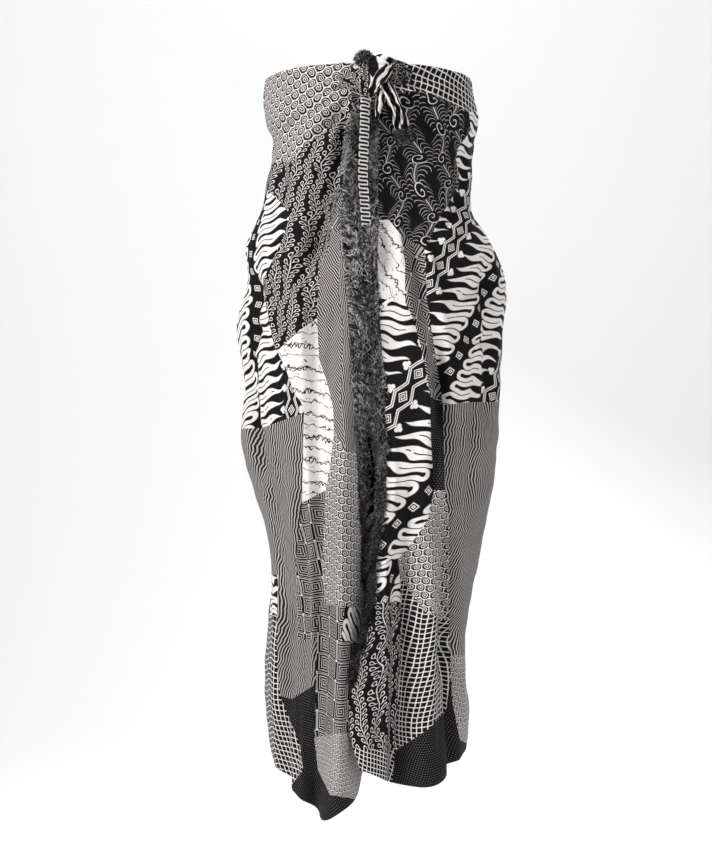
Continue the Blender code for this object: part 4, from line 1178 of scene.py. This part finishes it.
def buildBundle(name, values):
    route = np.array(values["route"])
    length = np.linalg.norm(np.diff(route[:, :3], axis=0), axis=1).sum()
    count = int(length / knotValues["along"])
    turns = np.linspace(0, 2 * math.pi, knotValues["around"] + 1)
    places, around, along = [], [], []
    travelled = 0
    last = None
    for number, at in enumerate(np.linspace(0, len(route) - 1, count + 1)):
        *middle, halfWidth, halfThick = routePlace(route, at)
        middle = Vector(middle)
        wide, thick = routeAxes(route, at)
        travelled += (middle - last).length if last else 0
        last = middle
        fromEnd = min(travelled, length - travelled) / knotValues["endRound"]
        closing = math.sqrt(max(0.0, 1 - max(0.0, 1 - fromEnd) ** 2)) if number not in (0, count) else 0.0
        ring = bundleRing(values, turns, at, halfWidth, halfThick, travelled, closing)
        places.append([middle + wide * across + thick * through for across, through in ring])
        along.append([-travelled] * len(turns))
        if values["pleats"]:
            unfolded = knotValues["unfolded"] * (halfWidth + halfThick)
            around.append([turn / (2 * math.pi) * unfolded for turn in turns])
        else:
            around.append([math.cos(turn) * halfWidth for turn in turns])
    piece = gridPiece(name, np.array(places), np.array(around), np.array(along))
    shape = bmesh.new()
    shape.from_mesh(piece.data)
    bmesh.ops.remove_doubles(shape, verts=shape.verts, dist=0.00001)
    bmesh.ops.recalc_face_normals(shape, faces=shape.faces)
    shape.to_mesh(piece.data)
    shape.free()
    flat = piece.data.uv_layers["cloth"].data
    for number, (share, *design) in enumerate(values["prints"]):
        piece.data.materials.append(printMaterial(name + str(number), *design))
        for face in piece.data.polygons:
            if -flat[face.loop_start].uv[1] >= share * travelled:
                face.material_index = number
    bpy.ops.object.shade_smooth()
    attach(piece, "root")
    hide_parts(values["node"])
    return piece


bundles = {name: buildBundle(name, values) for name, values in knotPieces.items()}
print("knot and strip made")


# Fringe: thin kinked threads in locks. Rows are the height, how far the lock comes out and its length.

fringeValues = {
    "rightEdgeFringe": {
        "turn": 360, "inner": 358.5, "node": "fringe_right_edge", "seed": 11, "locks": 150,
        "rows": (
            (-0.056, 0.010, 0.034), (-0.200, 0.020, 0.050), (-0.320, 0.019, 0.050), (-0.450, 0.016, 0.050),
            (-0.640, 0.012, 0.040), (-0.720, 0.007, 0.026), (-0.800, 0.003, 0.012), (-0.980, 0.003, 0.010))},
    "leftEdgeFringe": {
        "turn": 0, "inner": 1.5, "node": "fringe_left_edge", "seed": 12, "locks": 140,
        "rows": (
            (-0.056, 0.010, 0.034), (-0.200, 0.020, 0.050), (-0.320, 0.018, 0.050), (-0.450, 0.014, 0.050),
            (-0.640, 0.010, 0.036), (-0.730, 0.005, 0.020), (-0.880, 0.003, 0.010))},
}
edgeValues = {  # curves are distances below the top edge, then a value at each
    "slopeStep": 0.002,
    "fan": 62,
    "topFan": ((0.20, 0.31), (140, 62)),
    "narrowing": ((0.40, 0.50), (1.0, 0.66)),
    # painted shade: the edge fringes are drawn darker lower down, from full tone to 0.15, where they hang in
    # the shaded gap between the panels
    "shade": ((0.38, 0.48, 0.58, 0.70), (1.0, 0.55, 0.36, 0.15)),
}
threadValues = {
    "perLock": 13,
    "points": 17,
    "thickness": 0.00052,
    "spread": 0.0048,
    "kink": 0.0022,
    "kinks": 5.6,
    "sway": 0.002,
    "rootSpread": 0.004,
    "outBy": 0.55,  # share of its length by which a thread has come all the way out
    "tipShare": 0.35,
    "dark": (0.016, 0.016, 0.018, 1),
    "light": (0.92, 0.90, 0.89, 1),
    "shade": 0.5,
    "roughness": 0.9,
    "specular": 0.2,
    "bump": 0.5,
    "bumpDistance": 0.0003,
    "fuzzScale": 900,
}
fullTurn = 6.28


def threadMaterial(values):
    material = bpy.data.materials.new("fringeThread")
    material.use_nodes = True
    nodes, links = material.node_tree.nodes, material.node_tree.links
    # the tone attribute holds each thread's own mottling, with painted shade on the lower edge fringes
    tone = nodes.new("ShaderNodeAttribute")
    tone.attribute_name = "tone"
    place = nodes.new("ShaderNodeTexCoord")
    fuzz = nodes.new("ShaderNodeTexNoise")
    fuzz.inputs["Scale"].default_value = values["fuzzScale"]
    links.new(place.outputs["Object"], fuzz.inputs["Vector"])
    finishMaterial(material, values, tone.outputs["Fac"], fuzz.outputs["Fac"], fuzz.outputs["Fac"])
    return material


fringeThread = threadMaterial(threadValues)


def unitRows(rows):
    return rows / np.maximum(np.linalg.norm(rows, axis=-1, keepdims=True), 1e-9)


def threadPiece(name, paths, tones, thickness, node, sides=3):
    # paths are threads by points by three; each thread is a three-sided tube with a narrow end
    threads, points = paths.shape[:2]
    tangent = unitRows(np.gradient(paths, axis=1))
    aside = unitRows(np.cross(tangent, np.array([0.31, -0.9, 0.3])))
    over = np.cross(tangent, aside)
    radius = np.ones(points) * thickness
    radius[-1] *= threadValues["tipShare"]
    rings = []
    for side in range(sides):
        turn = 2 * math.pi * side / sides
        rings.append(paths + (aside * math.cos(turn) + over * math.sin(turn)) * radius[None, :, None])
    corners = np.stack(rings, axis=2).reshape(-1, 3)
    start = (np.arange(threads)[:, None, None] * points + np.arange(points - 1)[None, :, None]) * sides
    side = np.arange(sides)[None, None, :]
    after = (side + 1) % sides
    faces = np.stack([start + side, start + after, start + sides + after, start + sides + side], -1)
    faces = faces.reshape(-1, 4)
    first = (np.arange(threads) * points * sides)[:, None]
    last = first + (points - 1) * sides
    caps = np.concatenate([first + np.arange(sides)[::-1], last + np.arange(sides)])
    mesh = bpy.data.meshes.new(name)
    mesh.from_pydata(corners.tolist(), [], faces.tolist() + caps.tolist())
    toneLayer = mesh.attributes.new("tone", "FLOAT", "POINT")
    toneLayer.data.foreach_set("value", np.repeat(tones.reshape(-1), sides).astype(np.float32))
    mesh.materials.append(fringeThread)
    mesh.update()
    piece = bpy.data.objects.new(name, mesh)
    bpy.context.scene.collection.objects.link(piece)
    shape = bmesh.new()
    shape.from_mesh(mesh)
    bmesh.ops.recalc_face_normals(shape, faces=shape.faces)
    shape.to_mesh(mesh)
    shape.free()
    mesh.polygons.foreach_set("use_smooth", np.ones(len(mesh.polygons), bool))
    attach(piece, "root")
    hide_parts(node)
    print(name, threads, "threads,", len(mesh.polygons), "faces")


def kinkedThreads(draw, locks, values):
    # each lock falls from its root out, over and down; its threads part and kink on the way, and its shade
    # darkens their tone as painted shade
    t = np.linspace(0, 1, values["points"])
    outShare = np.sin(np.clip(t / values["outBy"], 0, 1) * math.pi / 2)
    fall = t ** 1.25
    parting = t ** 0.6
    paths, tones = [], []
    for root, out, down, reach, length, shade in locks:
        side = np.cross(out, down)
        swayPhase = draw.uniform(0, fullTurn)
        lockLevel = draw.uniform(0.90, 1.50) if draw.random() < 0.82 else 0.24
        # the lock's shade scales its threads' tone: painted shade on the edge fringes, 1 on the end fringes
        lockLevel = lockLevel * shade
        fleckRate, fleckPhase = draw.uniform(16, 34), draw.uniform(0, fullTurn)
        for number in range(values["perLock"]):
            part = draw.normal(0, values["spread"], 2)
            start = root + down * draw.uniform(-values["rootSpread"], values["rootSpread"])
            full = length * draw.uniform(0.55, 1.15)
            path = start + out * (reach * draw.uniform(0.5, 1.2) * outShare)[:, None]
            path = path + down * (full * fall)[:, None]
            path = path + side * (part[0] * parting)[:, None] + out * (part[1] * parting)[:, None]
            for way, phaseShift in ((side, 0.0), (out, 1.7)):
                phase = draw.uniform(0, fullTurn)
                rate = values["kinks"] * draw.uniform(0.7, 1.4)
                kink = np.sin(t * rate * fullTurn + phase)
                kink = kink + 0.6 * np.sin(t * rate * 11 + phase * 2 + phaseShift)
                path = path + way * (values["kink"] * kink * np.clip(t * 5, 0, 1))[:, None]
            path = path + side * (values["sway"] * np.sin(t * 4 + swayPhase) * t)[:, None]
            paths.append(path)
            level = lockLevel * (0.05 if draw.random() < 0.22 else draw.uniform(0.5, 1.0))
            flecks = np.sin(t * fleckRate + fleckPhase + draw.uniform(-1.6, 1.6)) * 3.6 + 0.5
            tones.append(np.minimum(level * np.clip(0.5 + 0.5 * flecks, 0.02, 1.0), 1))
    return np.array(paths), np.array(tones)


def atTurn(turn, drop):
    return clothForm(np.array([turn]), np.array([drop]))[0][0]


def edgeFringe(name, values):
    rows = np.array(values["rows"])
    seed, turn = values["seed"], float(values["turn"])
    rightSide = turn > 180
    draw = np.random.default_rng(seed)
    hemHeight = curveThrough(hem, "turn", "height", np.array(turn))
    step = edgeValues["slopeStep"]
    locks = []
    for height in np.linspace(rows[0, 0], rows[-1, 0], values["locks"]):
        drop = float(height / hemHeight)
        corner = atTurn(turn, drop)
        fallen = atTurn(turn, drop + step) - atTurn(turn, drop - step)
        down = fallen / np.linalg.norm(fallen)
        past = corner - atTurn(float(values["inner"]), drop)
        past /= np.linalg.norm(past)
        past = past - down * past.dot(down)
        past /= np.linalg.norm(past)
        outward = np.cross(past, down) if rightSide else np.cross(down, past)
        widest = np.interp(-height, *edgeValues["topFan"]) if rightSide else edgeValues["fan"]
        fan = math.radians(draw.uniform(-20, widest))
        clump = 1 + 0.45 * math.sin(height * 61 + seed) + 0.30 * math.sin(height * 143 + 2 * seed)
        out = past * math.cos(fan) + outward * math.sin(fan)
        narrowing = np.interp(-height, *edgeValues["narrowing"])
        reach = np.interp(-height, -rows[:, 0], rows[:, 1]) * clump * narrowing
        length = np.interp(-height, -rows[:, 0], rows[:, 2]) * (0.6 + 0.4 * clump)
        # the lock's last value is the painted shade from the table, darker further down the edge
        locks.append((corner, out, down, reach, length, float(np.interp(-height, *edgeValues["shade"]))))
    paths, tones = kinkedThreads(draw, locks, threadValues)
    threadPiece(name, paths, tones, threadValues["thickness"], values["node"])


for name, values in fringeValues.items():
    edgeFringe(name, values)

tuftValues = {
    "middle": (-0.009, -0.124, 0.004),
    "head": (0.0090, 0.0085, 0.0095),
    "threads": 520,
    "points": 9,
    "thickness": 0.00045,
    "reach": 0.0085,
    "kink": 0.0011,
    "droop": 0.003,
    "lowest": -0.45,
    "seed": 21,
    "node": "fringe_tuft",
}


def buildTuft(values):
    draw = np.random.default_rng(values["seed"])
    middle, head = np.array(values["middle"]), np.array(values["head"])
    t = np.linspace(0, 1, values["points"])
    paths, tones = [], []
    while len(paths) < values["threads"]:
        way = draw.normal(0, 1, 3)
        way /= np.linalg.norm(way)
        if way[2] < values["lowest"]:
            continue
        side = np.cross(way, (0.3, 0.5, 0.81))
        side /= np.linalg.norm(side)
        up = np.cross(side, way)
        reach = values["reach"] * draw.uniform(0.3, 1.0)
        path = middle + way * head * 0.55 + (way * (head * 0.45 + reach))[None, :] * t[:, None]
        path = path - np.array([0, 0, 1]) * (values["droop"] * t**2)[:, None]
        for turned in (side, up):
            phase = draw.uniform(0, fullTurn)
            kink = np.sin(t * draw.uniform(8, 16) + phase) * np.clip(t * 3, 0, 1)
            path = path + turned * (values["kink"] * kink)[:, None]
        paths.append(path)
        level = 0.03 if draw.random() < 0.6 else draw.uniform(0.10, 0.55)
        tones.append(np.clip(level * (0.7 + 0.6 * np.sin(t * 9 + draw.uniform(0, fullTurn))), 0, 1))
    threadPiece("tuft", np.array(paths), np.array(tones), values["thickness"], values["node"])


buildTuft(tuftValues)

endFringes = {
    "stripEndFringe": {
        "route": "hangingStrip", "halfWidth": 0.0065, "locks": 5, "length": 0.056, "lean": 0.10, "seed": 31,
        "tone": 0.9, "node": "fringe_strip_end"},
    "tailEndFringe": {
        "route": "knotSideTail", "halfWidth": 0.0110, "locks": 8, "length": 0.020, "lean": 0.45, "seed": 32,
        "tone": 0.45, "node": "fringe_tail_end"},
}
endThreads = {**threadValues, "perLock": 22, "spread": 0.0022}


def endFringe(name, values):
    route = np.array(knotPieces[values["route"]]["route"])
    last = Vector(route[-1][:3])
    down = (last - Vector(routePlace(route, len(route) - 1 - knotValues["slopeStep"])[:3])).normalized()
    wide = down.cross(Vector((0, -1, 0))).normalized()
    out = np.array(wide.cross(down).normalized())
    locks = []
    for number in range(values["locks"]):
        share = (number + 0.5) / values["locks"] * 2 - 1
        root = np.array(last + wide * values["halfWidth"] * share - down * 0.002)
        leaning = np.array((down + wide * values["lean"] * share * 0.5).normalized())
        locks.append((root, out, leaning, 0.001, values["length"], 1))
    paths, tones = kinkedThreads(np.random.default_rng(values["seed"]), locks, endThreads)
    threadPiece(name, paths, tones * values["tone"], threadValues["thickness"], values["node"])


for name, values in endFringes.items():
    endFringe(name, values)
